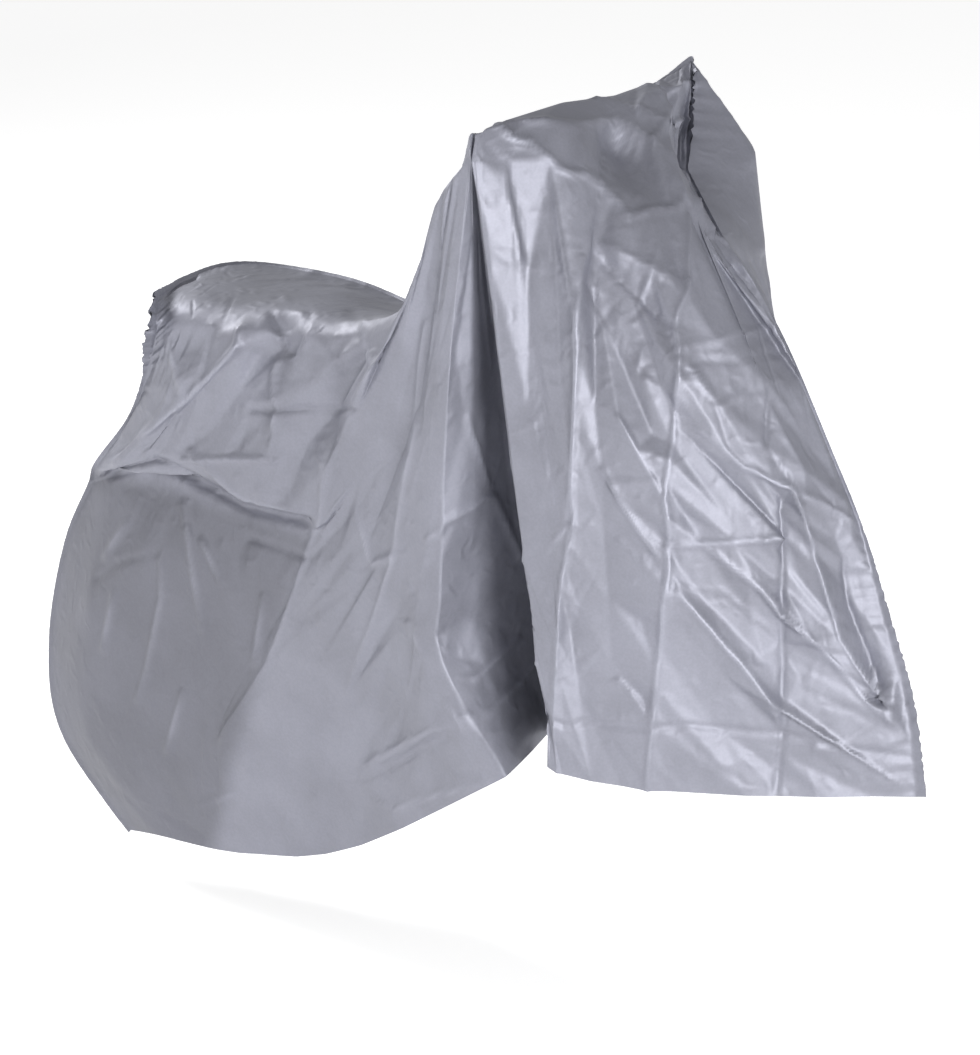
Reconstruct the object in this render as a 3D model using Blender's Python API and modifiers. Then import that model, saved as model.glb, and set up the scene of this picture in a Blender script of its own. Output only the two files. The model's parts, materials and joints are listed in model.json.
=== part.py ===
"""Bicycle cover: a two-panel bag of thin coated sheet, in the shape it hangs in use.

Metres, +Z up, +X forward, -Y the near (right-hand) side. Each panel is a loft across sections
that run from the hem up to the seam. The panels meet in a seam allowance along the rear, the
top and the front, and the bottom is open.
"""
import math

import bmesh
import bpy
import numpy as np

# Driving dimensions
SHEET = 0.0015                 # thickness of the sheet as modelled
PANEL_LENGTH = 2.0             # flat length of a panel, along the hem
PANEL_HEIGHT = 1.1             # flat height of a panel, from the hem to the seam
SEAM_GAP = 0.0004              # half the gap between the two panels in the seam
COLUMNS = 62                   # cells along a panel, about
FOLD_MARGIN = 0.05             # distance from the seam over which the folds fade out
JOIN_ROWS = 4                  # rows over which the far panel is fitted to the near panel's edge
ORIGIN = (0.0020, 0.0005, -0.0125)   # bottom centre of the cover in the sections' frame

# Heights on a panel, as shares of the way from the hem to the seam
LEVELS = {
    "hem": 0.0, "band": 0.06, "low": 0.14, "belly": 0.28, "high": 0.40, "tuck": 0.50, "chest": 0.52,
    "lip": 0.53, "waist": 0.64, "shoulder": 0.80, "crown": 0.90, "roof": 0.95, "seam": 1.0,
}
# Levels that are lines of the grid, with the number of cells from each up to the next
GRID_LEVELS = [
    ("hem", 2), ("band", 2), ("low", 4), ("belly", 3), ("high", 3), ("tuck", 1), ("lip", 3),
    ("waist", 5), ("shoulder", 3), ("crown", 3), ("roof", 3), ("seam", 0),
]
# How sharply a section turns at a level, from 0, round, to 1, a crease
LEVEL_SHARPNESS = {"tuck": 0.8, "lip": 0.5, "shoulder": 0.5, "crown": 1.0}


def section(name, along, sharpness=0.0, **points):
    """A section from hem to seam: its place along the flat panel and its points at named levels."""
    return {"name": name, "along": along, "sharpness": sharpness, "points": points}


REAR_SEAM = section(
    "rear seam", 0.0, 0.0,
    hem=(-0.620, 0.0, -0.008), band=(-0.664, 0.0, 0.031), low=(-0.742, 0.0, 0.113),
    belly=(-0.769, 0.0, 0.268), high=(-0.731, 0.0, 0.433), tuck=(-0.671, -0.010, 0.536),
    lip=(-0.640, -0.040, 0.566), waist=(-0.525, -0.090, 0.672), shoulder=(-0.430, -0.145, 0.822),
    crown=(-0.432, -0.142, 0.850), seam=(-0.440, -0.130, 0.868))
FRONT_SEAM = section(
    "front seam", 2.0, 0.0,
    hem=(0.768, 0.0, 0.320), low=(0.746, 0.0, 0.452), belly=(0.704, 0.0, 0.572),
    high=(0.669, 0.0, 0.676), chest=(0.614, 0.0, 0.783), waist=(0.539, 0.0, 0.920),
    shoulder=(0.430, 0.010, 1.048), crown=(0.309, 0.110, 1.104), roof=(0.252, 0.202, 1.168),
    seam=(0.231, 0.241, 1.217))

NEAR_SECTIONS = [
    REAR_SEAM,
    section("rear taper", 0.10, 0.3,
            hem=(-0.553, -0.030, 0.008), low=(-0.655, -0.045, 0.133), belly=(-0.677, -0.050, 0.296),
            high=(-0.626, -0.055, 0.454), tuck=(-0.590, -0.050, 0.569), lip=(-0.565, -0.090, 0.583),
            waist=(-0.474, -0.120, 0.673), shoulder=(-0.385, -0.150, 0.862),
            crown=(-0.440, -0.070, 0.867), seam=(-0.500, 0.0, 0.864)),
    section("rear middle", 0.35, 0.0,
            hem=(-0.462, -0.050, 0.017), low=(-0.449, -0.085, 0.183), belly=(-0.466, -0.095, 0.345),
            high=(-0.426, -0.105, 0.483), tuck=(-0.404, -0.090, 0.609), lip=(-0.375, -0.135, 0.610),
            waist=(-0.319, -0.150, 0.719), shoulder=(-0.280, -0.150, 0.875),
            crown=(-0.364, 0.0, 0.872), seam=(-0.455, 0.150, 0.865)),
    section("rear bulge's front", 0.48, 0.0,
            hem=(-0.406, -0.060, 0.022), low=(-0.402, -0.095, 0.191), belly=(-0.345, -0.110, 0.367),
            high=(-0.302, -0.120, 0.478), tuck=(-0.288, -0.110, 0.590), lip=(-0.253, -0.155, 0.598),
            waist=(-0.207, -0.165, 0.717), shoulder=(-0.163, -0.150, 0.889),
            crown=(-0.220, 0.0, 0.875), seam=(-0.288, 0.150, 0.860)),
    section("hump front", 0.56, 0.3,
            hem=(-0.380, -0.063, 0.025), low=(-0.380, -0.100, 0.196), belly=(-0.300, -0.118, 0.374),
            high=(-0.245, -0.130, 0.479), tuck=(-0.215, -0.130, 0.590), lip=(-0.180, -0.162, 0.594),
            waist=(-0.080, -0.180, 0.735), shoulder=(-0.055, -0.160, 0.899),
            crown=(-0.110, 0.0, 0.868), seam=(-0.185, 0.130, 0.848)),
    section("tent fold", 0.62, 0.4,
            hem=(-0.354, -0.065, 0.028), low=(-0.362, -0.105, 0.200), belly=(-0.259, -0.125, 0.381),
            high=(-0.189, -0.140, 0.479), tuck=(-0.145, -0.150, 0.580), lip=(-0.120, -0.168, 0.592),
            waist=(-0.060, -0.192, 0.735), shoulder=(0.061, -0.220, 0.934),
            crown=(-0.020, -0.080, 0.885), seam=(-0.100, 0.060, 0.862)),
    section("tent middle", 0.82, 0.0,
            hem=(-0.130, -0.100, 0.088), band=(-0.092, -0.125, 0.202), belly=(-0.004, -0.190, 0.479),
            chest=(0.056, -0.210, 0.709), waist=(0.090, -0.220, 0.843), shoulder=(0.148, -0.252, 1.097),
            crown=(0.095, -0.110, 1.030), seam=(0.020, 0.020, 0.970)),
    section("tent ridge", 1.02, 0.5,
            hem=(0.243, -0.220, 0.305), band=(0.182, -0.225, 0.382), low=(0.142, -0.235, 0.458),
            belly=(0.144, -0.240, 0.545), high=(0.149, -0.242, 0.625), chest=(0.162, -0.250, 0.776),
            waist=(0.177, -0.255, 0.918), shoulder=(0.214, -0.265, 1.169),
            crown=(0.206, -0.255, 1.196), roof=(0.150, -0.110, 1.125), seam=(0.110, 0.030, 1.085)),
    section("pleat floor", 1.20, 0.0,
            hem=(0.190, -0.036, 0.314), band=(0.204, -0.040, 0.378), belly=(0.199, -0.060, 0.527),
            high=(0.200, -0.080, 0.603), chest=(0.201, -0.120, 0.755), waist=(0.201, -0.160, 0.903),
            shoulder=(0.225, -0.266, 1.168), crown=(0.216, -0.251, 1.203),
            roof=(0.185, -0.090, 1.165), seam=(0.150, 0.070, 1.135)),
    section("front edge", 1.40, 0.7,
            hem=(0.333, -0.250, 0.345), band=(0.333, -0.250, 0.408), low=(0.317, -0.252, 0.487),
            belly=(0.309, -0.254, 0.560), high=(0.297, -0.256, 0.638), chest=(0.276, -0.259, 0.788),
            waist=(0.258, -0.262, 0.958), shoulder=(0.236, -0.265, 1.169),
            crown=(0.225, -0.240, 1.207), roof=(0.205, -0.060, 1.188), seam=(0.180, 0.110, 1.172)),
    section("apex fold", 1.45, 0.0,
            hem=(0.341, -0.247, 0.340), belly=(0.334, -0.250, 0.573), chest=(0.325, -0.250, 0.801),
            waist=(0.309, -0.240, 0.954), shoulder=(0.278, -0.190, 1.167),
            crown=(0.228, -0.130, 1.221), roof=(0.206, -0.010, 1.196), seam=(0.187, 0.126, 1.178)),
    section("packing fold 1", 1.50, 0.3,
            hem=(0.350, -0.243, 0.336), belly=(0.358, -0.243, 0.583), high=(0.364, -0.243, 0.687),
            chest=(0.370, -0.240, 0.819), waist=(0.367, -0.225, 0.953), shoulder=(0.325, -0.120, 1.128),
            crown=(0.220, 0.030, 1.208), roof=(0.208, 0.085, 1.204), seam=(0.193, 0.145, 1.186)),
    section("packing fold 2", 1.67, 0.3,
            hem=(0.456, -0.190, 0.320), belly=(0.484, -0.188, 0.608), chest=(0.485, -0.183, 0.811),
            waist=(0.478, -0.160, 0.913), shoulder=(0.399, -0.020, 1.080),
            crown=(0.228, 0.155, 1.210), roof=(0.215, 0.190, 1.210), seam=(0.206, 0.220, 1.210)),
    section("packing fold 3", 1.83, 0.3,
            hem=(0.609, -0.105, 0.317), belly=(0.617, -0.105, 0.567), high=(0.619, -0.105, 0.692),
            chest=(0.616, -0.103, 0.773), waist=(0.544, -0.065, 0.905), shoulder=(0.430, -0.015, 1.048),
            crown=(0.300, 0.090, 1.116), roof=(0.238, 0.195, 1.184), seam=(0.219, 0.254, 1.230)),
    FRONT_SEAM,
]
# Main folds of a panel: from and to as (along, share of the height); height is outwards, in metres
NEAR_FOLDS = [
    {"name": "tuck under the hump's edge", "start": (0.450, 0.79), "end": (0.475, 0.70),
     "width": 0.040, "height": -0.018},
    {"name": "hump's upright crease", "start": (0.480, 0.70), "end": (0.500, 0.56),
     "width": 0.030, "height": 0.007},
    {"name": "hump's slope ridge", "start": (0.380, 0.76), "end": (0.150, 0.65),
     "width": 0.050, "height": 0.010},
    {"name": "hump's slope hollow", "start": (0.430, 0.71), "end": (0.240, 0.62),
     "width": 0.045, "height": -0.010},
    {"name": "hump's front hollow", "start": (0.580, 0.74), "end": (0.520, 0.58),
     "width": 0.050, "height": -0.012},
    {"name": "rear bulge", "start": (0.140, 0.33), "end": (0.260, 0.39),
     "width": 0.060, "height": 0.008},
    {"name": "tent's streak", "start": (0.860, 0.72), "end": (0.780, 0.40),
     "width": 0.060, "height": -0.008},
    {"name": "tent's hem fold", "start": (0.780, 0.06), "end": (0.980, 0.06),
     "width": 0.035, "height": 0.008},
    {"name": "trough by the apex", "start": (1.435, 0.83), "end": (1.455, 0.50),
     "width": 0.035, "height": -0.012},
    {"name": "sheet's dark band", "start": (1.490, 0.77), "end": (1.680, 0.52),
     "width": 0.055, "height": -0.014},
    {"name": "ridge beside the band", "start": (1.540, 0.72), "end": (1.640, 0.57),
     "width": 0.035, "height": 0.008},
    {"name": "sheet's upper ridge", "start": (1.550, 0.77), "end": (1.720, 0.67),
     "width": 0.040, "height": 0.008},
    {"name": "chest hollow", "start": (1.690, 0.57), "end": (1.840, 0.47),
     "width": 0.055, "height": -0.012},
    {"name": "lower chest ridge", "start": (1.560, 0.52), "end": (1.660, 0.39),
     "width": 0.045, "height": 0.009},
    {"name": "lower ridge", "start": (1.670, 0.29), "end": (1.850, 0.13),
     "width": 0.050, "height": 0.009},
    {"name": "lower front hollow", "start": (1.860, 0.42), "end": (1.940, 0.15),
     "width": 0.055, "height": -0.012},
]
FAR_FOLDS = [
    {"name": "far hump's hollow", "start": (0.400, 0.90), "end": (0.480, 0.62),
     "width": 0.060, "height": -0.010},
    {"name": "far rear ridge", "start": (0.250, 0.42), "end": (0.500, 0.47),
     "width": 0.060, "height": 0.009},
    {"name": "far tent's streak", "start": (0.900, 0.74), "end": (0.860, 0.30),
     "width": 0.060, "height": -0.010},
    {"name": "far sheet's ridge", "start": (1.420, 0.76), "end": (1.520, 0.25),
     "width": 0.050, "height": 0.008},
    {"name": "far front hollow", "start": (1.740, 0.70), "end": (1.880, 0.30),
     "width": 0.060, "height": -0.010},
]
# Width of the seam allowance at places round the seam, from the rear hem over the top to the front
FIN_WIDTHS = {
    "rear": [(0.0, 0.006), (0.72, 0.006), (0.78, 0.016), (0.95, 0.018), (1.0, 0.012)],
    "top": [(0.0, 0.012), (0.06, 0.006), (0.10, 0.005), (1.90, 0.004), (2.0, 0.007)],
    "front": [(0.0, 0.013), (0.28, 0.010), (0.40, 0.004), (0.90, 0.004), (0.93, 0.012),
              (0.97, 0.012), (1.0, 0.008)],
}
# The far panel's sections end in the seam, so they name no point there
FAR_SECTIONS = [
    REAR_SEAM,
    section("far rear taper", 0.10, 0.0,
            hem=(-0.553, 0.030, 0.010), low=(-0.655, 0.045, 0.133), belly=(-0.677, 0.050, 0.296),
            high=(-0.630, 0.055, 0.454), lip=(-0.600, 0.040, 0.600), waist=(-0.540, 0.020, 0.690),
            shoulder=(-0.510, 0.010, 0.800)),
    section("far rear middle", 0.35, 0.2,
            hem=(-0.420, 0.060, 0.030), low=(-0.450, 0.085, 0.160), belly=(-0.460, 0.095, 0.330),
            high=(-0.450, 0.105, 0.480), lip=(-0.440, 0.135, 0.600), waist=(-0.450, 0.150, 0.700),
            shoulder=(-0.458, 0.160, 0.800)),
    section("far rear front", 0.50, 0.0,
            hem=(-0.280, 0.080, 0.050), belly=(-0.300, 0.115, 0.360), high=(-0.280, 0.130, 0.500),
            lip=(-0.270, 0.155, 0.600), waist=(-0.265, 0.165, 0.700), shoulder=(-0.265, 0.165, 0.790)),
    section("far hump front", 0.58, 0.3,
            hem=(-0.200, 0.115, 0.080), belly=(-0.200, 0.145, 0.390), high=(-0.190, 0.165, 0.500),
            waist=(-0.165, 0.185, 0.700), shoulder=(-0.160, 0.180, 0.800), crown=(-0.162, 0.160, 0.832)),
    section("far rear pleat", 0.72, 0.3,
            hem=(-0.110, 0.050, 0.120), belly=(-0.095, 0.070, 0.430), waist=(-0.080, 0.150, 0.720),
            shoulder=(-0.060, 0.195, 0.870), crown=(-0.070, 0.140, 0.885)),
    section("far tent sheet", 0.86, 0.0,
            hem=(-0.010, 0.170, 0.215), belly=(0.005, 0.195, 0.470), waist=(0.030, 0.220, 0.760),
            shoulder=(0.040, 0.225, 0.990), crown=(0.040, 0.150, 1.000)),
    section("far tent ridge", 1.00, 0.4,
            hem=(0.080, 0.225, 0.240), belly=(0.100, 0.238, 0.500), waist=(0.120, 0.248, 0.800),
            shoulder=(0.125, 0.250, 1.080), crown=(0.120, 0.170, 1.090)),
    section("far pleat floor", 1.18, 0.3,
            hem=(0.170, 0.035, 0.280), belly=(0.175, 0.045, 0.520), waist=(0.175, 0.120, 0.850),
            shoulder=(0.175, 0.225, 1.110), crown=(0.165, 0.180, 1.140)),
    section("far front edge", 1.36, 0.5,
            hem=(0.285, 0.245, 0.310), belly=(0.265, 0.252, 0.550), waist=(0.235, 0.262, 0.880),
            shoulder=(0.195, 0.268, 1.130), crown=(0.190, 0.220, 1.170)),
    section("far sheet", 1.48, 0.0,
            hem=(0.375, 0.228, 0.308), belly=(0.360, 0.230, 0.560), waist=(0.310, 0.250, 0.880),
            shoulder=(0.245, 0.266, 1.120), crown=(0.208, 0.235, 1.172)),
    section("far sheet's trough", 1.58, 0.2,
            hem=(0.425, 0.130, 0.315), belly=(0.415, 0.140, 0.570), waist=(0.355, 0.200, 0.880),
            shoulder=(0.275, 0.254, 1.110), crown=(0.228, 0.252, 1.180)),
    section("far sheet's swell", 1.69, 0.0,
            hem=(0.530, 0.155, 0.315), belly=(0.505, 0.160, 0.570), waist=(0.410, 0.185, 0.880),
            shoulder=(0.325, 0.240, 1.075), crown=(0.280, 0.266, 1.150), roof=(0.238, 0.256, 1.186)),
    section("far front fold", 1.80, 0.0,
            hem=(0.640, 0.070, 0.310), belly=(0.610, 0.075, 0.560), high=(0.580, 0.075, 0.667),
            chest=(0.530, 0.078, 0.771), waist=(0.472, 0.110, 0.879), shoulder=(0.386, 0.190, 1.013),
            crown=(0.343, 0.232, 1.112), roof=(0.290, 0.248, 1.162)),
    FRONT_SEAM,
]


def hermite(knots, values, sharpness, at):
    """Curve through values at the knots, read at each place in at; sharp knots turn as a crease."""
    knots = np.asarray(knots, float)
    values = np.asarray(values, float)
    steps = np.diff(knots)
    slopes = np.diff(values, axis=0) / steps[:, None]
    smooth = np.empty_like(values)
    smooth[0] = slopes[0]
    smooth[-1] = slopes[-1]
    weight = (steps[:-1] / (steps[:-1] + steps[1:]))[:, None]
    smooth[1:-1] = slopes[:-1] * (1 - weight) + slopes[1:] * weight
    crease = np.asarray(sharpness, float)[:, None]
    leaving = smooth[:-1] * (1 - crease[:-1]) + slopes * crease[:-1]
    arriving = smooth[1:] * (1 - crease[1:]) + slopes * crease[1:]
    span = np.clip(np.searchsorted(knots, at, side="right") - 1, 0, len(steps) - 1)
    share = ((at - knots[span]) / steps[span])[:, None]
    length = steps[span][:, None]
    return (values[span] * (1 + 2 * share) * (1 - share) ** 2
            + leaving[span] * length * share * (1 - share) ** 2
            + values[span + 1] * share ** 2 * (3 - 2 * share)
            + arriving[span] * length * share ** 2 * (share - 1))


def loft(sections, along, up):
    """Grid of points, [along, up], on the surface through the sections."""
    curves = []
    for row in sections:
        names = sorted(row["points"], key=LEVELS.get)
        knots = [LEVELS[name] for name in names]
        turns = [LEVEL_SHARPNESS.get(name, 0.0) for name in names]
        curves.append(hermite(knots, [row["points"][name] for name in names], turns, up))
    places = [row["along"] for row in sections]
    sharpness = [row["sharpness"] for row in sections]
    lines = [hermite(places, [curve[step] for curve in curves], sharpness, along)
             for step in range(len(up))]
    return np.stack(lines, axis=1)


def spread(knots, cells):
    """About this many cells, with a grid line on every knot."""
    lines = [knots[:1]]
    for start, end in zip(knots[:-1], knots[1:]):
        count = max(1, round(cells * (end - start) / (knots[-1] - knots[0])))
        lines.append(np.linspace(start, end, count + 1)[1:])
    return np.concatenate(lines)


def level_lines():
    """Places of the grid's lines from the hem to the seam."""
    lines = [LEVELS["hem"]]
    for (start, cells), (end, _) in zip(GRID_LEVELS[:-1], GRID_LEVELS[1:]):
        lines.extend(np.linspace(LEVELS[start], LEVELS[end], cells + 1)[1:])
    return np.array(lines)


def closed_by(sections, along, top_edge):
    """The sections with their seam point read from the other panel's top edge."""
    closed = []
    for row in sections:
        seam = [np.interp(row["along"], along, top_edge[:, axis]) for axis in range(3)]
        closed.append(section(row["name"], row["along"], row["sharpness"],
                              **{**row["points"], "seam": tuple(seam)}))
    return closed


def unit(vectors):
    """Vectors of length one."""
    return vectors / np.maximum(np.linalg.norm(vectors, axis=-1, keepdims=True), 1e-9)


def normals(grid, side):
    """Outward direction at each point; side is -1 on the near panel and +1 on the far one."""
    forward = np.gradient(grid, axis=0)
    upward = np.gradient(grid, axis=1)
    return unit(np.cross(upward, forward)) * side


def fold_heights(folds, along, up):
    """How far the folds move each point of the grid outwards."""
    place = np.stack(np.meshgrid(along, up * PANEL_HEIGHT, indexing="ij"), axis=-1)
    total = np.zeros(place.shape[:2])
    for row in folds:
        start = np.array(row["start"]) * (1.0, PANEL_HEIGHT)
        run = np.array(row["end"]) * (1.0, PANEL_HEIGHT) - start
        share = np.clip(((place - start) @ run) / (run @ run), 0, 1)
        off = np.linalg.norm(place - start - share[..., None] * run, axis=-1) / row["width"]
        total += row["height"] * np.where(off < 1, (1 - off) ** 2 * (1 + 2 * off), 0)
    return total


def borders(grid):
    """The three sewn edges of a grid with the lines next to them, each edge in order."""
    return {
        "rear": (grid[0], grid[1]),
        "top": (grid[:, -1], grid[:, -2]),
        "front": (grid[-1], grid[-2]),
    }


def across(vectors, line):
    """Vectors of length one at right angles to a line of unit vectors."""
    return unit(vectors - np.sum(vectors * line, axis=-1, keepdims=True) * line)


def smoothed(line, rounds=3):
    """A line of vectors evened out along its length."""
    for _ in range(rounds):
        line = np.concatenate([line[:1], (line[:-2] + 2 * line[1:-1] + line[2:]) / 4, line[-1:]])
    return line


def ends_kept(line):
    """The line with each end's value taken from the point next to it."""
    return np.concatenate([line[1:2], line[1:-1], line[-2:-1]])


def seam_frame(near, far):
    """For each sewn edge: outward direction of the allowance, and the way to the near side."""
    frame = {}
    near_faces = borders(normals(near, -1))
    far_faces = borders(normals(far, 1))
    for edge, (seam, inner) in borders(near).items():
        tangent = unit(np.gradient(seam, axis=0))
        near_way = across(seam - inner, tangent)
        far_way = across(seam - borders(far)[edge][1], tangent)
        out = near_way + far_way + near_faces[edge][0] + far_faces[edge][0]
        out = across(ends_kept(smoothed(unit(out))), tangent)
        side = unit(np.cross(tangent, out))
        side *= np.sign(ends_kept(np.sum(side * (far_way - near_way), axis=-1, keepdims=True)))
        frame[edge] = (out, side)
    return frame


def sewn_grid(grid, frame, side, along, up):
    """The panel's grid with its edges parted by the seam gap and its allowance added."""
    columns, rows, _ = grid.shape
    whole = np.zeros((columns + 2, rows + 1, 3))
    whole[1:-1, :-1] = grid
    shift = SEAM_GAP * side
    for edge, index, places in (("rear", 0, up), ("front", -1, up)):
        out, way = frame[edge]
        line = grid[index] + way * shift
        width = np.interp(places, *zip(*FIN_WIDTHS[edge]))[:, None]
        inside = 1 if index == 0 else -2
        whole[inside, :-1] = line
        whole[index, :-1] = line + out * width
    out, way = frame["top"]
    line = grid[:, -1] + way * shift
    width = np.interp(along, *zip(*FIN_WIDTHS["top"]))[:, None]
    whole[2:-2, -2] = line[1:-1]
    whole[1:-1, -1] = line + out * width
    for index, inside in ((0, 1), (-1, -2)):
        corner = whole[inside, -2]
        ways = unit((whole[index, -2] - corner) + (whole[inside, -1] - corner))
        whole[index, -1] = corner + ways * np.linalg.norm(whole[inside, -1] - corner)
    return whole


def joined(grid, other):
    """The grid with its top edge moved onto the other panel's, fading out over the rows below."""
    rows = grid.shape[1]
    share = np.clip(1 - (rows - 1 - np.arange(rows)) / JOIN_ROWS, 0, 1) ** 2
    return grid + (other[:, -1] - grid[:, -1])[:, None] * share[None, :, None]


def panel_grids():
    """Both panels as grids of points, folded, parted at the seam and moved to the origin."""
    along = spread([row["along"] for row in NEAR_SECTIONS], COLUMNS)
    up = level_lines()
    near = loft(NEAR_SECTIONS, along, up)
    far = joined(loft(closed_by(FAR_SECTIONS, along, near[:, -1]), along, up), near)
    edge = np.minimum(np.minimum(along, PANEL_LENGTH - along)[:, None], PANEL_HEIGHT * (1 - up))
    free = np.clip(edge / FOLD_MARGIN, 0, 1)
    near += normals(near, -1) * (fold_heights(NEAR_FOLDS, along, up) * free)[..., None]
    far += normals(far, 1) * (fold_heights(FAR_FOLDS, along, up) * free)[..., None]
    frame = seam_frame(near, far)
    return (sewn_grid(near, frame, 1, along, up) - ORIGIN,
            sewn_grid(far, frame, -1, along, up) - ORIGIN)


def sheet_material():
    """Silver-grey coated sheet, slightly glossy."""
    material = bpy.data.materials.new("silver_coated_sheet")
    material.use_nodes = True
    shader = material.node_tree.nodes["Principled BSDF"]
    shader.inputs["Base Color"].default_value = (0.36, 0.365, 0.41, 1.0)
    shader.inputs["Roughness"].default_value = 0.42
    shader.inputs["Metallic"].default_value = 0.25
    material.diffuse_color = (0.36, 0.365, 0.41, 1.0)
    return material


def add_panel(name, grid, flip, material, collection):
    """One panel: an open grid moved to its points, thickened outwards."""
    columns, rows, _ = grid.shape
    mesh = bpy.data.meshes.new(name)
    shape = bmesh.new()
    bmesh.ops.create_grid(shape, x_segments=columns - 1, y_segments=rows - 1, size=0.5)
    for corner in shape.verts:
        column = round((corner.co.x + 0.5) * (columns - 1))
        row = round((corner.co.y + 0.5) * (rows - 1))
        corner.co = grid[column, row]
    if flip:
        bmesh.ops.reverse_faces(shape, faces=shape.faces)
    shape.to_mesh(mesh)
    shape.free()
    mesh.shade_smooth()
    mesh.materials.append(material)
    panel = bpy.data.objects.new(name, mesh)
    collection.objects.link(panel)
    thickness = panel.modifiers.new("sheet thickness", "SOLIDIFY")
    thickness.thickness = SHEET
    thickness.offset = 1.0
    return panel


def build():
    """Clear the scene and add the two panels of the cover."""
    for item in list(bpy.data.objects):
        bpy.data.objects.remove(item)
    cover = bpy.data.collections.new("bicycle_cover")
    bpy.context.scene.collection.children.link(cover)
    near, far = panel_grids()
    material = sheet_material()
    add_panel("panel_near", near, False, material, cover)
    add_panel("panel_far", far, True, material, cover)


build()
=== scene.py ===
"""Looks of the bicycle cover: two creased panels of silver coated sheet with a puckered seam."""
import json
import math

import bpy
import numpy as np
from mathutils import Matrix, Vector
from mathutils.geometry import delaunay_2d_cdt

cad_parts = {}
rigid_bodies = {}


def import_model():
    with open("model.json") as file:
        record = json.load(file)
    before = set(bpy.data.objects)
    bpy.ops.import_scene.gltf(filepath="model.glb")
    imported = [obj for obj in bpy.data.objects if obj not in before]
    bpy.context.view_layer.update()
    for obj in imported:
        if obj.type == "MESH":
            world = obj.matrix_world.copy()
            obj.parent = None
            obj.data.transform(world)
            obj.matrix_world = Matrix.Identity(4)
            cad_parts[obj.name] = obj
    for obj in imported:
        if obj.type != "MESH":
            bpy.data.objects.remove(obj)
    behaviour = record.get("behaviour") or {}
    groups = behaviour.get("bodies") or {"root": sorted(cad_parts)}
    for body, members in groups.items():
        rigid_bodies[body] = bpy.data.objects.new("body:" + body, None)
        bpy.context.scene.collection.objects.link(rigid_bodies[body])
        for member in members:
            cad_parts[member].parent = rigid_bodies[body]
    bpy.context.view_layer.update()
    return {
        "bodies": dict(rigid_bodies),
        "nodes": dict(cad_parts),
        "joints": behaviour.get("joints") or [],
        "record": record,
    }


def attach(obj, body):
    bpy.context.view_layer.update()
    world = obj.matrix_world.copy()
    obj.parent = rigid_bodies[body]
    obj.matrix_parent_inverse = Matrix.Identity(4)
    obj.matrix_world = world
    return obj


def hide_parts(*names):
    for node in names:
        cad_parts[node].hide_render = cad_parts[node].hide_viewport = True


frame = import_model()

# Driving dimensions of the cover, in metres
PANEL_LENGTH = 2.0             # flat length of a panel, along the hem
PANEL_HEIGHT = 1.1             # flat height of a panel, from the hem to the seam
SEAM_GAP = 0.0005              # half the gap between the two panels in the seam
FOLD_MARGIN = 0.05             # distance from the seam over which the folds fade out
EDGE_MARGIN = 0.03             # the same for the facets and small creases
HUMP_FRONT = 0.62              # where the hump ends along the panel
EDGE_ROUNDS = 140              # how often the hump's upper edge is smoothed
EDGE_LOW = (0.70, 0.05)        # share of the height where its smoothing starts, and the fade there
EDGE_HIGH = (0.985, 0.03)      # the same where it ends
EDGE_FRONT_FADE = 0.08         # the fade of the smoothing along the panel
JOIN_SHARE = 0.12              # share of the height over which the far panel is fitted to the seam
ORIGIN = (0.0020, 0.0005, -0.0125)   # bottom centre of the cover in the sections' frame

# The photograph: its size in pixels, and where its camera stands
PHOTO_SIZE = (980, 1055)
AZIMUTH = math.radians(36.0)
ELEVATION = math.radians(15.5)
DISTANCE = 7.0
PIXEL = 0.001413               # metres at the target for one pixel of the photograph
TARGET = np.array([0.0540, -0.0005, 0.5925])
BACK = np.array([
    math.sin(AZIMUTH) * math.cos(ELEVATION),
    -math.cos(AZIMUTH) * math.cos(ELEVATION),
    math.sin(ELEVATION),
])
RIGHT = np.array([math.cos(AZIMUTH), math.sin(AZIMUTH), 0.0])
UPWARD = np.cross(BACK, RIGHT)
SENSOR = 36.0                  # mm, along the picture's height
CLIP_END = 100.0

# Grid of the sheet as shown
# Places along the panel and levels up it, each with the number of cells to the next
COLUMN_STEPS = [(0.0, 108), (0.62, 72), (1.02, 68), (1.38, 170), (2.0, 0)]
ROW_STEPS = [("hem", 178), ("shoulder", 22), ("crown", 32), ("seam", 0)]
FIN_ROWS = 3                   # cells across the seam allowance

# Look
SHEET_COLOUR = (0.235, 0.239, 0.282, 1.0)
METALLIC = 0.45
ROUGHNESS = (0.50, 0.60)
# Noise of the soft patches, the fine grain and the two layers of crinkles
PATCHES = {"Scale": 7.0, "Detail": 3.0, "Roughness": 0.55}
GRAIN = {"Scale": 260.0, "Detail": 2.0}
CRINKLES = {"Scale": 9.0, "Detail": 4.0, "Roughness": 0.55, "Distortion": 0.6}
FINE_CRINKLES = {"Scale": 42.0, "Detail": 2.0, "Roughness": 0.5, "Distortion": 0.4}
NOISE_REACH = (0.3, 0.7)       # range of the noise over which the tone changes
GLOSS_REACH = (0.25, 0.75)     # the same for the roughness
PATCH_TONE = (0.90, 1.09)      # range of the soft patches' tone
GRAIN_TONE = (0.97, 1.03)      # range of the fine grain's tone
# Painted shade on the rear bulge under the hump's lip, darkening its colour
REAR_SHADE_EDGE = (0.90, 0.0, -0.43)  # direction across the front edge of the painted shade on the rear bulge
REAR_SHADE_EDGE_REACH = (-0.42, -0.35)   # where along it the painted shade fades out
REAR_SHADE_TOP_REACH = (0.555, 0.605)    # the same upwards, at the overlap's lip
REAR_SHADE_SIDE_REACH = (-0.03, 0.03)    # the same across the cover
REAR_SHADE_FAR_SHARE = 0.3           # how much of it is left on the far side
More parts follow.
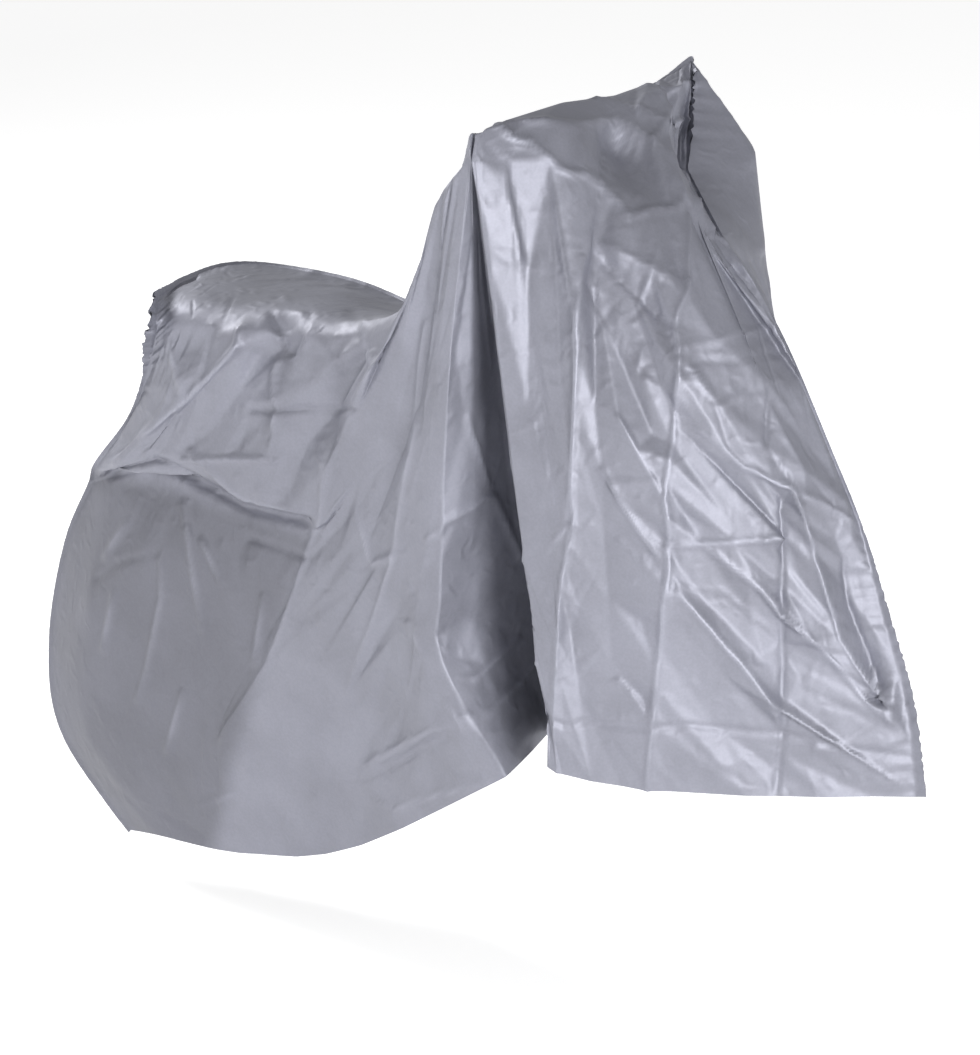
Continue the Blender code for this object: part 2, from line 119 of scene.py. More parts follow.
# how dark the painted shade on the rear bulge is
REAR_PAINTED_SHADE = 0.66
WEAR_AND_SHEEN_TONE = 1.55               # how much paler a ridge's crest is: whitening of the creased coating, with painted highlight
CRINKLE_BUMP = (0.9, 0.006)    # strength and depth of the larger crinkles, in metres
FINE_BUMP = (0.6, 0.003)
FLOOR_COLOUR = (0.86, 0.86, 0.86, 1.0)
FLOOR_ROUGHNESS = 0.8
FLOOR_SIZE = 30.0
FLOOR_HEIGHT = -0.05
FLOOR_GLOW = 0.56
WORLD_STRENGTH = 0.42
WHITE = (1.0, 1.0, 1.0, 1.0)
# Square soft lights: name, place, what it is aimed at, size in metres and power in watts
LIGHTS = [
    ("key", (4.7, -3.1, 1.4), (0.2, 0.0, 0.6), 1.2, 262.0),
    ("side fill", (-3.6, -4.6, 1.6), (0.0, 0.0, 0.5), 1.4, 62.0),
    ("rear top fill", (-4.0, 0.6, 3.2), (-0.3, 0.0, 0.7), 1.8, 150.0),
]

# Heights on a panel, as shares of the way from the hem to the seam
LEVELS = {
    "hem": 0.0, "band": 0.06, "low": 0.14, "belly": 0.28, "high": 0.40, "tuck": 0.50, "chest": 0.52,
    "lip": 0.53, "waist": 0.64, "shoulder": 0.80, "crown": 0.90, "roof": 0.95, "seam": 1.0,
}
# How sharply a section turns at a level, from 0, round, to 1, a crease
LEVEL_SHARPNESS = {"tuck": 0.8, "lip": 0.5, "shoulder": 0.5, "crown": 1.0}


def metres(millimetres):
    """Lengths in metres."""
    return tuple(length / 1000 for length in millimetres)


def section(name, along, sharpness=0.0, **points):
    """A section from hem to seam: its place along the flat panel and its points at named levels.

    The place is in metres and the points are in millimetres.
    """
    points = {level: metres(point) for level, point in points.items()}
    return {"name": name, "along": along, "sharpness": sharpness, "points": points}


REAR_SEAM = section("rear seam", 0.0, hem=(-620, 0, -8), band=(-664, 0, 31), low=(-742, 0, 113),
    belly=(-769, 0, 268), high=(-731, 0, 433), tuck=(-671, -10, 536), lip=(-640, -40, 566),
    waist=(-525, -90, 672), shoulder=(-430, -145, 822), crown=(-432, -142, 850),
    seam=(-440, -130, 868))
FRONT_SEAM = section("front seam", 2.0, hem=(768, 0, 320), low=(746, 0, 452), belly=(704, 0, 572),
    high=(669, 0, 676), chest=(614, 0, 783), waist=(539, 0, 920), shoulder=(430, 10, 1048),
    crown=(309, 110, 1104), roof=(252, 202, 1168), seam=(231, 241, 1217))

NEAR_SECTIONS = [
    REAR_SEAM,
    section("rear taper", 0.10, 0.3, hem=(-553, -30, 8), low=(-655, -45, 133),
        belly=(-677, -50, 296), high=(-626, -55, 454), tuck=(-590, -50, 569), lip=(-565, -90, 583),
        waist=(-474, -120, 673), shoulder=(-385, -150, 862), crown=(-440, -70, 867),
        seam=(-500, 0, 864)),
    section("rear middle", 0.35, hem=(-462, -50, 17), low=(-449, -85, 183), belly=(-466, -95, 345),
        high=(-426, -105, 483), tuck=(-404, -90, 609), lip=(-375, -135, 610),
        waist=(-319, -150, 719), shoulder=(-280, -150, 875), crown=(-364, 0, 872),
        seam=(-455, 150, 865)),
    section("rear bulge's front", 0.48, hem=(-406, -60, 22), low=(-402, -95, 191),
        belly=(-345, -110, 367), high=(-302, -120, 478), tuck=(-288, -110, 590),
        lip=(-253, -155, 598), waist=(-207, -165, 717), shoulder=(-163, -150, 889),
        crown=(-220, 0, 875), seam=(-288, 150, 860)),
    section("hump front", 0.56, 0.3, hem=(-380, -63, 25), low=(-380, -100, 196),
        belly=(-300, -118, 374), high=(-245, -130, 479), tuck=(-215, -130, 590),
        lip=(-180, -162, 594), waist=(-80, -180, 735), shoulder=(-55, -160, 899),
        crown=(-110, 0, 868), seam=(-185, 130, 848)),
    section("tent fold", 0.62, 0.4, hem=(-354, -65, 28), low=(-362, -105, 200),
        belly=(-259, -125, 381), high=(-189, -140, 479), tuck=(-145, -150, 580),
        lip=(-120, -168, 592), waist=(-60, -192, 735), shoulder=(61, -220, 934),
        crown=(-20, -80, 885), seam=(-100, 60, 862)),
    section("tent middle", 0.82, hem=(-130, -100, 88), band=(-92, -125, 202), belly=(-4, -190, 479),
        chest=(56, -210, 709), waist=(90, -220, 843), shoulder=(148, -252, 1097),
        crown=(95, -110, 1030), seam=(20, 20, 970)),
    section("tent ridge", 1.02, 0.5, hem=(243, -220, 305), band=(182, -225, 382),
        low=(142, -235, 458), belly=(144, -240, 545), high=(149, -242, 625), chest=(162, -250, 776),
        waist=(177, -255, 918), shoulder=(214, -265, 1169), crown=(206, -255, 1196),
        roof=(150, -110, 1125), seam=(110, 30, 1085)),
    section("pleat floor", 1.20, hem=(190, -36, 314), band=(204, -40, 378), belly=(199, -60, 527),
        high=(200, -80, 603), chest=(201, -120, 755), waist=(201, -160, 903),
        shoulder=(225, -266, 1168), crown=(216, -251, 1203), roof=(185, -90, 1165),
        seam=(150, 70, 1135)),
    section("front edge", 1.40, 0.7, hem=(333, -250, 345), band=(333, -250, 408),
        low=(317, -252, 487), belly=(309, -254, 560), high=(297, -256, 638), chest=(276, -259, 788),
        waist=(258, -262, 958), shoulder=(236, -265, 1169), crown=(225, -240, 1207),
        roof=(205, -60, 1188), seam=(180, 110, 1172)),
    section("apex fold", 1.45, hem=(341, -247, 340), belly=(334, -250, 573), chest=(325, -250, 801),
        waist=(309, -240, 954), shoulder=(278, -190, 1167), crown=(228, -130, 1221),
        roof=(206, -10, 1196), seam=(187, 126, 1178)),
    section("packing fold 1", 1.50, 0.3, hem=(350, -243, 336), belly=(358, -243, 583),
        high=(364, -243, 687), chest=(370, -240, 819), waist=(367, -225, 953),
        shoulder=(325, -120, 1128), crown=(220, 30, 1208), roof=(208, 85, 1204),
        seam=(193, 145, 1186)),
    section("packing fold 2", 1.67, 0.3, hem=(456, -190, 320), belly=(484, -188, 608),
        chest=(485, -183, 811), waist=(478, -160, 913), shoulder=(399, -20, 1080),
        crown=(228, 155, 1210), roof=(215, 190, 1210), seam=(206, 220, 1210)),
    section("packing fold 3", 1.83, 0.3, hem=(609, -105, 317), belly=(617, -105, 567),
        high=(619, -105, 692), chest=(616, -103, 773), waist=(544, -65, 905),
        shoulder=(430, -15, 1048), crown=(300, 90, 1116), roof=(238, 195, 1184),
        seam=(219, 254, 1230)),
    FRONT_SEAM,
]


def fold(name, start, end, width, height):
    """A main fold from and to (along, share of the height), its outward height in millimetres."""
    width, height = metres((width, height))
    return {"name": name, "start": start, "end": end, "width": width, "height": height}


NEAR_FOLDS = [
    fold("tuck under the hump's edge", (0.45, 0.79), (0.475, 0.7), 40, -18),
    fold("hump's upright crease", (0.48, 0.7), (0.5, 0.56), 30, 7),
    fold("hump's slope ridge", (0.38, 0.76), (0.15, 0.65), 50, 10),
    fold("hump's slope hollow", (0.43, 0.71), (0.24, 0.62), 45, -10),
    fold("hump's front hollow", (0.58, 0.74), (0.52, 0.58), 50, -12),
    fold("rear bulge", (0.14, 0.33), (0.26, 0.39), 60, 8),
    fold("tent's streak", (0.86, 0.72), (0.78, 0.4), 60, -8),
    fold("tent's hem fold", (0.78, 0.06), (0.98, 0.06), 35, 8),
    fold("trough by the apex", (1.435, 0.83), (1.455, 0.5), 35, -12),
    fold("sheet's dark band", (1.49, 0.77), (1.68, 0.52), 55, -14),
    fold("ridge beside the band", (1.54, 0.72), (1.64, 0.57), 35, 8),
    fold("sheet's upper ridge", (1.55, 0.77), (1.72, 0.67), 40, 8),
    fold("chest hollow", (1.69, 0.57), (1.84, 0.47), 55, -12),
    fold("lower chest ridge", (1.56, 0.52), (1.66, 0.39), 45, 9),
    fold("lower ridge", (1.67, 0.29), (1.85, 0.13), 50, 9),
    fold("lower front hollow", (1.86, 0.42), (1.94, 0.15), 55, -12),
]
FAR_FOLDS = [
    fold("far hump's hollow", (0.4, 0.9), (0.48, 0.62), 60, -10),
    fold("far rear ridge", (0.25, 0.42), (0.5, 0.47), 60, 9),
    fold("far tent's streak", (0.9, 0.74), (0.86, 0.3), 60, -10),
    fold("far sheet's ridge", (1.42, 0.76), (1.52, 0.25), 50, 8),
    fold("far front hollow", (1.74, 0.7), (1.88, 0.3), 60, -10),
]
# Width of the seam allowance at places round the seam, from the rear hem over the top to the front
FIN_WIDTHS = {
    "rear": [(0.0, 0.006), (0.72, 0.006), (0.78, 0.016), (0.95, 0.018), (1.0, 0.012)],
    "top": [(0.0, 0.012), (0.06, 0.006), (0.10, 0.005), (1.90, 0.004), (2.0, 0.007)],
    "front": [(0.0, 0.013), (0.28, 0.010), (0.40, 0.004), (0.90, 0.004), (0.93, 0.012),
              (0.97, 0.012), (1.0, 0.008)],
}
# The far panel's sections end in the seam, so they name no point there
FAR_SECTIONS = [
    REAR_SEAM,
    section("far rear taper", 0.10, hem=(-553, 30, 10), low=(-655, 45, 133), belly=(-677, 50, 296),
        high=(-630, 55, 454), lip=(-600, 40, 600), waist=(-540, 20, 690), shoulder=(-510, 10, 800)),
    section("far rear middle", 0.35, 0.2, hem=(-420, 60, 30), low=(-450, 85, 160),
        belly=(-460, 95, 330), high=(-450, 105, 480), lip=(-440, 135, 600), waist=(-450, 150, 700),
        shoulder=(-458, 160, 800)),
    section("far rear front", 0.50, hem=(-280, 80, 50), belly=(-300, 115, 360),
        high=(-280, 130, 500), lip=(-270, 155, 600), waist=(-265, 165, 700),
        shoulder=(-265, 165, 790)),
    section("far hump front", 0.58, 0.3, hem=(-200, 115, 80), belly=(-200, 145, 390),
        high=(-190, 165, 500), waist=(-165, 185, 700), shoulder=(-160, 180, 800),
        crown=(-162, 160, 832)),
    section("far rear pleat", 0.72, 0.3, hem=(-110, 50, 120), belly=(-95, 70, 430),
        waist=(-80, 150, 720), shoulder=(-60, 195, 870), crown=(-70, 140, 885)),
    section("far tent sheet", 0.86, hem=(-10, 170, 215), belly=(5, 195, 470), waist=(30, 220, 760),
        shoulder=(40, 225, 990), crown=(40, 150, 1000)),
    section("far tent ridge", 1.00, 0.4, hem=(80, 225, 240), belly=(100, 238, 500),
        waist=(120, 248, 800), shoulder=(125, 250, 1080), crown=(120, 170, 1090)),
    section("far pleat floor", 1.18, 0.3, hem=(170, 35, 280), belly=(175, 45, 520),
        waist=(175, 120, 850), shoulder=(175, 225, 1110), crown=(165, 180, 1140)),
    section("far front edge", 1.36, 0.5, hem=(285, 245, 310), belly=(265, 252, 550),
        waist=(235, 262, 880), shoulder=(195, 268, 1130), crown=(190, 220, 1170)),
    section("far sheet", 1.48, hem=(375, 228, 308), belly=(360, 230, 560), waist=(310, 250, 880),
        shoulder=(245, 266, 1120), crown=(208, 235, 1172)),
    section("far sheet's trough", 1.58, 0.2, hem=(425, 130, 315), belly=(415, 140, 570),
        waist=(355, 200, 880), shoulder=(275, 254, 1110), crown=(228, 252, 1180)),
    section("far sheet's swell", 1.69, hem=(530, 155, 315), belly=(505, 160, 570),
        waist=(410, 185, 880), shoulder=(325, 240, 1075), crown=(280, 266, 1150),
        roof=(238, 256, 1186)),
    section("far front fold", 1.80, hem=(640, 70, 310), belly=(610, 75, 560), high=(580, 75, 667),
        chest=(530, 78, 771), waist=(472, 110, 879), shoulder=(386, 190, 1013),
        crown=(343, 232, 1112), roof=(290, 248, 1162)),
    FRONT_SEAM,
]

# Stretches of the near panel that its creases lie on
PARTS = {"rear": (-0.1, 0.66), "tent": (0.54, 1.10), "valley": (0.96, 1.44), "front": (1.34, 2.1),
         "roof": (1.05, 2.1)}
PART_FADE = 0.03               # how far a crease's line fades out at its stretch's ends
CREST_LINE = 3.4               # height of the thin line along a crease's crest, in millimetres
CREST_WIDTH = 8                # half its width
CREST_WEAR_AND_SHEEN = 0.50              # how pale its crest is: whitening of the coating, with painted highlight
FLANK = (0.55, 0.45)           # shares of a flank's straight and curved parts
BULGE_LINE = {"line": 5, "line_width": 10, "wear_and_sheen": 0.65}   # the same of the bulge's creases


def crease(name, part, height, half_width, pixels, line=None, line_width=CREST_WIDTH,
           wear_and_sheen=CREST_WEAR_AND_SHEEN):
    """A crease of the near panel, through pixels of the photograph, on a part of the panel.

    height is outwards at the crest and half_width the width of a flank. line and line_width are
    the same for the thin line on the crest. All are in millimetres.
    """
    if line is None:
        line = CREST_LINE * np.sign(height)
    height, half_width, line, line_width = metres((height, half_width, line, line_width))
    return {"name": name, "part": part, "height": height, "half_width": half_width,
            "pixels": pixels, "line": line, "line_width": line_width, "wear_and_sheen": wear_and_sheen}


CREASES = [
    # packing folds of the front sheet
    crease("fold by the edge", "front", 5, 26, [(590, 183), (589, 232), (581, 280), (578, 328),
           (577, 408), (573, 480), (573, 523), (563, 584), (556, 684), (554, 737)]),
    crease("edge's side crease", "front", 3, 18, [(572, 523), (551, 546)]),
    crease("middle fold", "front", 5.5, 30, [(687, 217), (683, 297), (673, 328), (677, 361),
           (676, 406), (664, 500), (669, 535), (667, 588), (658, 664), (652, 723), (647, 790)]),
    crease("middle fold's branch", "front", 3.5, 22, [(677, 361), (712, 396)]),
    crease("front fold", "front", -5, 28, [(789, 482), (782, 605), (784, 717), (776, 793)]),
    crease("level fold", "front", 4, 22, [(667, 544), (784, 538)]),
    crease("upper slanting ridge", "front", 4.5, 28, [(617, 418), (661, 497)]),
    crease("long slanting ridge", "front", 4, 26, [(603, 470), (641, 529), (664, 564)]),
    crease("lower slanting ridge", "front", 5, 30, [(676, 588), (717, 635), (784, 715)]),
    crease("ridge to the front fold", "front", 4, 26, [(705, 544), (779, 602)]),
    crease("ridge to the front corner", "front", 8.5, 34, [(782, 617), (831, 664), (902, 734)]),
    crease("front face's slanting ridge", "front", 11, 34, [(790, 485), (811, 547), (840, 635),
           (902, 726)]),
    crease("chest ridge", "front", 4.5, 30, [(676, 409), (743, 470), (790, 485), (861, 529)]),
    crease("upper trough", "front", -5, 22, [(770, 400), (767, 444)]),
    crease("hem line", "front", -1.6, 6, [(545, 719), (619, 722), (652, 726), (691, 726),
           (782, 737), (867, 749), (912, 756)]),
    crease("fan ridge 1", "front", 3.5, 20, [(600, 185), (629, 215)]),
    crease("fan ridge 2", "front", 3.5, 20, [(629, 215), (696, 206)]),
    crease("fan ridge 3", "front", 4.5, 24, [(600, 246), (683, 286)]),
    crease("fan trough", "front", -4.5, 22, [(605, 262), (672, 327)]),
    crease("dark band's trough", "front", -6, 30, [(589, 281), (642, 375)]),
    crease("shoulder wrinkle 1", "front", 1, 7, [(677, 351), (776, 329)], line=2.2),
    crease("shoulder wrinkle 2", "front", -1.2, 7, [(690, 366), (786, 352)], line=-2.2),
    crease("shoulder ridge", "front", 6, 24, [(669, 185), (696, 206), (716, 229), (734, 257),
           (748, 281), (762, 309), (782, 340), (812, 398), (836, 448), (863, 528)]),
    crease("front seam's hollow", "front", -5, 20, [(846, 560), (850, 610), (866, 655),
           (880, 700)]),
    crease("lens facet", "front", -6, 18, [(761, 177), (742, 221), (760, 272)]),
    # folds that fall from the rear apex
    crease("apex fold 1", "tent", 6, 22, [(472, 151), (487, 210), (495, 245), (498, 308),
           (502, 415)]),
    crease("apex fold 2", "valley", 5, 20, [(503, 156), (514, 232), (519, 269)]),
    crease("apex trough", "valley", -5, 20, [(536, 150), (548, 215), (552, 300), (548, 400)]),
    crease("top ridge", "roof", 5, 16, [(498, 127), (530, 151), (568, 172), (600, 182)], line=6),
    crease("cross crinkle 1", "valley", 3, 12, [(519, 266), (533, 274)]),
    crease("cross crinkle 2", "valley", 3, 12, [(530, 296), (551, 301)]),
    crease("cross crinkle 3", "valley", 3, 12, [(543, 333), (573, 344)]),
    # dark side of the pleat
    crease("pleat crease 1", "valley", 4, 18, [(466, 420), (488, 485)]),
    crease("pleat fork 1", "valley", 4.5, 18, [(443, 523), (488, 496)]),
    crease("pleat fork 2", "valley", 4.5, 18, [(493, 496), (522, 561)]),
    crease("pleat crease 2", "valley", 4, 18, [(475, 678), (516, 637)]),
    crease("pleat crease 3", "valley", 4, 18, [(487, 713), (534, 664)]),
    # tent
    crease("forked crease 1", "tent", 4, 22, [(356, 510), (375, 564), (402, 553)]),
    crease("tent crinkle 1", "tent", 3, 12, [(428, 540), (440, 531)]),
    crease("tent crinkle 2", "tent", 3, 14, [(409, 622), (424, 655)]),
    crease("hem fold's ridge", "tent", 5.5, 18, [(366, 764), (446, 724)]),
    crease("hem fold's trough", "tent", -6, 14, [(362, 780), (446, 737)]),
    crease("flap fold", "tent", 5, 16, [(378, 799), (399, 809), (431, 796), (499, 779)]),
    crease("knot", "tent", 5.5, 20, [(448, 702), (460, 716), (472, 734)]),
    crease("tent's soft ridge", "tent", 4.5, 34, [(363, 312), (373, 369), (353, 402)]),
    crease("tent's long streak", "tent", 3.5, 40, [(430, 330), (416, 450), (396, 560), (350, 690)]),
    crease("tent's rear edge", "tent", 3.5, 30, [(330, 440), (320, 520), (307, 552), (290, 608),
           (270, 662), (250, 693), (220, 737)]),
    # hump
    crease("hump's upright crease", "rear", 5, 20, [(275, 362), (275, 461)], line=5.5),
    crease("hump's level crease", "rear", -4, 18, [(249, 410), (356, 410)], line=-5.5),
    crease("hump's bright ridge", "rear", 5, 20, [(184, 460), (279, 460)], line=5.5),
    crease("hump's tuck, rear side", "rear", -4.5, 20, [(272, 314), (290, 356)], line=-6),
    crease("hump's tuck, front side", "rear", -4.5, 20, [(309, 314), (290, 356)], line=-6),
    crease("hump's rear crease", "rear", 2, 16, [(167, 337), (184, 399)], line=3),
    crease("hump's slanting crease", "rear", 5, 22, [(239, 329), (234, 352), (179, 409)], line=5.5),
    # bulge under the hump
    crease("bulge crease 1", "rear", 3, 12, [(126, 524), (107, 555)], **BULGE_LINE),
    crease("bulge crease 2", "rear", 3, 14, [(114, 594), (104, 648)], **BULGE_LINE),
    crease("bulge crease 3", "rear", 3.5, 18, [(162, 552), (162, 597), (148, 667), (138, 698)],
           **BULGE_LINE),
    crease("bulge crease 4", "rear", 3.5, 20, [(184, 504), (193, 566), (203, 628)], **BULGE_LINE),
    crease("bulge crease 5", "rear", 2.5, 12, [(203, 541), (221, 580)], **BULGE_LINE),
    crease("bulge crease 6", "rear", 3, 14, [(264, 597), (256, 662)], **BULGE_LINE),
    crease("bulge crease 7", "rear", 3, 14, [(183, 693), (168, 749)], **BULGE_LINE),
    crease("bulge's dark curve", "rear", -4.5, 16, [(161, 552), (116, 563), (96, 580)]),
    crease("bulge's soft trough", "rear", -3, 24, [(250, 538), (306, 558)]),
    crease("low crease", "rear", 4, 18, [(200, 805), (253, 787), (340, 782)]),
    crease("low trough", "rear", -3.5, 14, [(161, 813), (203, 838)]),
    crease("undercut of the lip", "rear", -5, 12, [(112, 473), (152, 460), (174, 468), (204, 485),
           (241, 505), (261, 511), (306, 522)], line=-11, line_width=12),
    crease("hump's side fold", "rear", 6, 20, [(120, 458), (180, 402), (238, 345)], line=5.5),
    crease("hump's low fold", "rear", 5, 20, [(192, 452), (240, 500), (300, 512)], line=5.5),
    crease("hump's side crease", "rear", -4, 18, [(320, 330), (345, 372), (398, 330)]),
    # roof between the apexes and the peak
    crease("roof fold", "roof", 6, 22, [(688, 86), (644, 103), (632, 119), (600, 98)], line=4.5),
    crease("roof's lower fold", "roof", 5.5, 22, [(519, 122), (575, 130), (612, 126), (650, 150),
           (690, 180)], line=4.5),
    crease("tuck's dark line", "roof", -6, 18, [(606, 134), (644, 154)], line=-6),
    crease("peak's front crease", "roof", -6, 18, [(697, 103), (690, 117), (683, 166)], line=-6),
    crease("peak's ridge", "roof", 6, 18, [(668, 92), (665, 130), (644, 154)], line=6),
    crease("peak's low crease", "roof", 5, 16, [(632, 119), (665, 130), (690, 117)], line=6),
]


def area(name, along, up, facet, crumple):
    """How far an area of a panel is broken into flat facets, and how much it is crumpled."""
    return {"name": name, "along": along, "up": up, "facet": facet, "crumple": crumple}


# A later area covers an earlier one
NEAR_AREAS = [
    area("rear bulge", (0.0, 0.58), (0.0, 0.5), 0.15, 0.35),
    area("lip", (0.0, 0.64), (0.46, 0.57), 0.0, 0.3),
    area("hump", (0.0, 0.6), (0.58, 1.0), 0.95, 0.5),
    area("hump's edge", (0.0, 0.6), (0.76, 0.97), 0.0, 0.1),
    area("tent", (0.66, 1.02), (0.0, 1.0), 0.75, 0.7),
    area("pleat", (1.02, 1.4), (0.0, 1.0), 0.7, 0.8),
    area("front sheet", (1.4, 2.0), (0.0, 1.0), 1.0, 0.65),
]
FAR_AREAS = [
    area("far rear", (0.0, 0.56), (0.0, 0.6), 0.8, 0.9),
    area("far hump", (0.0, 0.56), (0.6, 1.0), 0.9, 1.2),
    area("far front", (0.6, 2.0), (0.0, 1.0), 0.9, 1.0),
    area("far roof", (0.0, 2.0), (0.78, 1.0), 0.0, 0.1),
]
AREA_MARGIN = 0.03             # width of the change from one area to the next, along and up
PLAIN_AREA = 0.7               # both values outside the areas
BEYOND = 1.0                   # a step well past the panel's edge
# Lines that the facets keep: the pleats' folds along the panel, and the levels of its turns
NEAR_KEPT = [0.62, 1.02, 1.20, 1.40]
FAR_KEPT = [0.58, 0.72, 1.00, 1.18, 1.36]
KEPT_LEVELS = ["shoulder", "crown"]
KEPT_STEP = 0.05
FACET_ALONG = 0.052            # mean size of a facet along the panel
FACET_UP = 0.105               # and up it
# How far the facets lean forward going down, at places along the panel
NEAR_SLANT = [(0.0, -0.5), (1.0, -0.35), (1.35, 0.1), (1.55, 0.75), (2.0, 0.75)]
FAR_SLANT = [(0.0, 0.4), (0.9, 0.3), (1.3, -0.2), (2.0, -0.5)]
FACET_HEIGHT = 0.0056
LEFT_OUT = 0.25                # share of places without a corner
CORNER_SHIFT = 0.45            # how far a corner strays from its place, as a share of the spacing
CORNER_MERGE = 1e-4            # how near two corners are one
CREST_SPREAD = (0.8, 1.2)      # range of the heights along a crease, as shares of its own
UNFLAT_STEPS = 801             # places that unflat() looks among
WEAR_AND_SHEEN_END = 0.35                # share of a crease's length over which its paler crest, whitening with painted highlight, fades at an end
END_WEAR_AND_SHEEN = 0.25                # share of the paler crest that is left there
FAR_OFF = 1e9                  # stands for no distance found
TINY = 1e-9                    # small enough to be nothing
CREASE_SEARCH = 7.0            # how far from a pixel its point on the panel may fall, in pixels
SEARCH_COST = 0.002            # metres of depth that one pixel of that counts for
CORNER_GAP = 0.004             # least distance between a crease's corners
FACING = 0.08                  # least slope towards the camera of what it sees
# Height of a crease where facets meet, as a share of its own height
FACET_CREST = {"rear": 0.8, "tent": 1.6, "valley": 1.6, "front": 1.9, "roof": 2.6}
FACET_CREASE = 0.008           # half width above which a crease bends the facets too
CREASE_STEP = 0.025            # spacing of the facets' corners along a crease
CREASE_CLEAR = 0.018           # how near a crease no other corner lies
CREASE_END = 0.45              # share of a crease's height that is left at its ends


def crinkles(name, seed, count, along, up, length, half_width, slope):
    """Small unplanned creases in an area, with the range of their sizes, in millimetres."""
    return {"name": name, "seed": seed, "count": count, "along": along, "up": up,
            "length": metres(length), "half_width": metres(half_width), "slope": slope}


CRUMPLE = [
    crinkles("front sheet", 11, 170, (1.38, 2.0), (0.0, 0.95), (10, 60), (6, 14), 0.13),
    crinkles("pleat", 12, 90, (1.02, 1.4), (0.0, 0.95), (10, 50), (6, 12), 0.11),
    crinkles("tent", 13, 100, (0.58, 1.04), (0.0, 0.95), (10, 60), (6, 14), 0.09),
    crinkles("hump", 14, 120, (0.0, 0.62), (0.5, 0.98), (10, 50), (6, 13), 0.14),
    crinkles("rear bulge", 15, 30, (0.02, 0.62), (0.0, 0.52), (10, 60), (6, 14), 0.06),
]
FAR_CRUMPLE = [
    crinkles("far sheet", 21, 330, (0.0, 2.0), (0.0, 0.78), (10, 60), (6, 14), 0.12),
]
CRINKLE_SPREAD = (0.4, 1.3)    # range of their slopes, as shares of the row's
CRINKLE_BOW = 0.8              # how much they bend
CRINKLE_TIP = 0.35             # share of the width that is left at a tip
CRINKLE_RISE = 1.6             # how soon the full height is reached from a tip
# Puckers of the seam: height on the panel, reach from the seam and mean spacing, in metres
PUCKER_HEIGHT = 0.0022
PUCKER_REACH = 0.030
PUCKER_SPACING = 0.021
PUCKER_START = 0.004           # distance from the seam at which they are in full
# Uneven waves: their parts' rates as shares of their own, and how each part's phase wanders
WAVE_PARTS = (0.7, 1.0, 1.37, 2.1)
WAVE_DRIFT = (0.6, 1.4)
WAVE_BEND = 0.8
WAVE_LONG = 5.3
WAVE_SUM = 2.4                 # what the sum of the parts is divided by
FIN_WOBBLE = 0.0028            # sideways waves of the allowance
FIN_SPACINGS = (0.8, 0.9)      # spacing of its sideways waves and scallops, as shares of a pucker's
FIN_BROAD = 0.010              # width from which it sways in full
FIN_LEAST_SWAY = 0.3           # share of the sway where it is narrowest
FIN_SCALLOP = 0.15             # share of its width that the allowance's edge waves
FIN_SEEDS = {"rear": 31, "front": 41, "top": 51}
PUCKER_SEEDS = {"near": 61, "far": 71}
FACET_SEEDS = {"near": 5, "far": 6}
# How strongly each seam is puckered, at shares of its height or places along the panel
PUCKERS = {
    "rear": [(0.0, 0.1), (0.66, 0.15), (0.73, 1.0), (1.0, 1.0)],
    "top": [(0.0, 0.7), (0.10, 0.3), (1.80, 0.3), (1.95, 1.0), (2.0, 1.0)],
    "front": [(0.0, 0.6), (0.42, 0.5), (0.50, 0.2), (0.88, 0.2), (0.93, 1.0), (1.0, 1.0)],
}


def hermite(knots, values, sharpness, at):
    """Curve through values at the knots, read at each place in at; sharp knots turn as a crease."""
    knots = np.asarray(knots, float)
    values = np.asarray(values, float)
    steps = np.diff(knots)
    slopes = np.diff(values, axis=0) / steps[:, None]
    smooth = np.empty_like(values)
    smooth[0] = slopes[0]
    smooth[-1] = slopes[-1]
    weight = (steps[:-1] / (steps[:-1] + steps[1:]))[:, None]
    smooth[1:-1] = slopes[:-1] * (1 - weight) + slopes[1:] * weight
    crease = np.asarray(sharpness, float)[:, None]
    leaving = smooth[:-1] * (1 - crease[:-1]) + slopes * crease[:-1]
    arriving = smooth[1:] * (1 - crease[1:]) + slopes * crease[1:]
    span = np.clip(np.searchsorted(knots, at, side="right") - 1, 0, len(steps) - 1)
    share = ((at - knots[span]) / steps[span])[:, None]
    length = steps[span][:, None]
    return (values[span] * (1 + 2 * share) * (1 - share) ** 2
            + leaving[span] * length * share * (1 - share) ** 2
            + values[span + 1] * share ** 2 * (3 - 2 * share)
            + arriving[span] * length * share ** 2 * (share - 1))


def loft(sections, along, up):
    """Grid of points, [along, up], on the surface through the sections."""
    curves = []
    for row in sections:
        names = sorted(row["points"], key=LEVELS.get)
        knots = [LEVELS[name] for name in names]
        turns = [LEVEL_SHARPNESS.get(name, 0.0) for name in names]
        curves.append(hermite(knots, [row["points"][name] for name in names], turns, up))
    places = [row["along"] for row in sections]
    sharpness = [row["sharpness"] for row in sections]
    lines = [hermite(places, [curve[step] for curve in curves], sharpness, along)
             for step in range(len(up))]
    return np.stack(lines, axis=1)


def closed_by(sections, along, top_edge):
    """The sections with their seam point read from the other panel's top edge."""
    closed = []
    for row in sections:
        seam = [np.interp(row["along"], along, top_edge[:, axis]) for axis in range(3)]
        closed.append({**row, "points": {**row["points"], "seam": tuple(seam)}})
    return closed


def unit(vectors):
    """Vectors of length one."""
    return vectors / np.maximum(np.linalg.norm(vectors, axis=-1, keepdims=True), TINY)


def normals(grid, side):
    """Outward direction at each point; side is -1 on the near panel and +1 on the far one."""
    forward = np.gradient(grid, axis=0)
    upward = np.gradient(grid, axis=1)
    return unit(np.cross(upward, forward)) * side


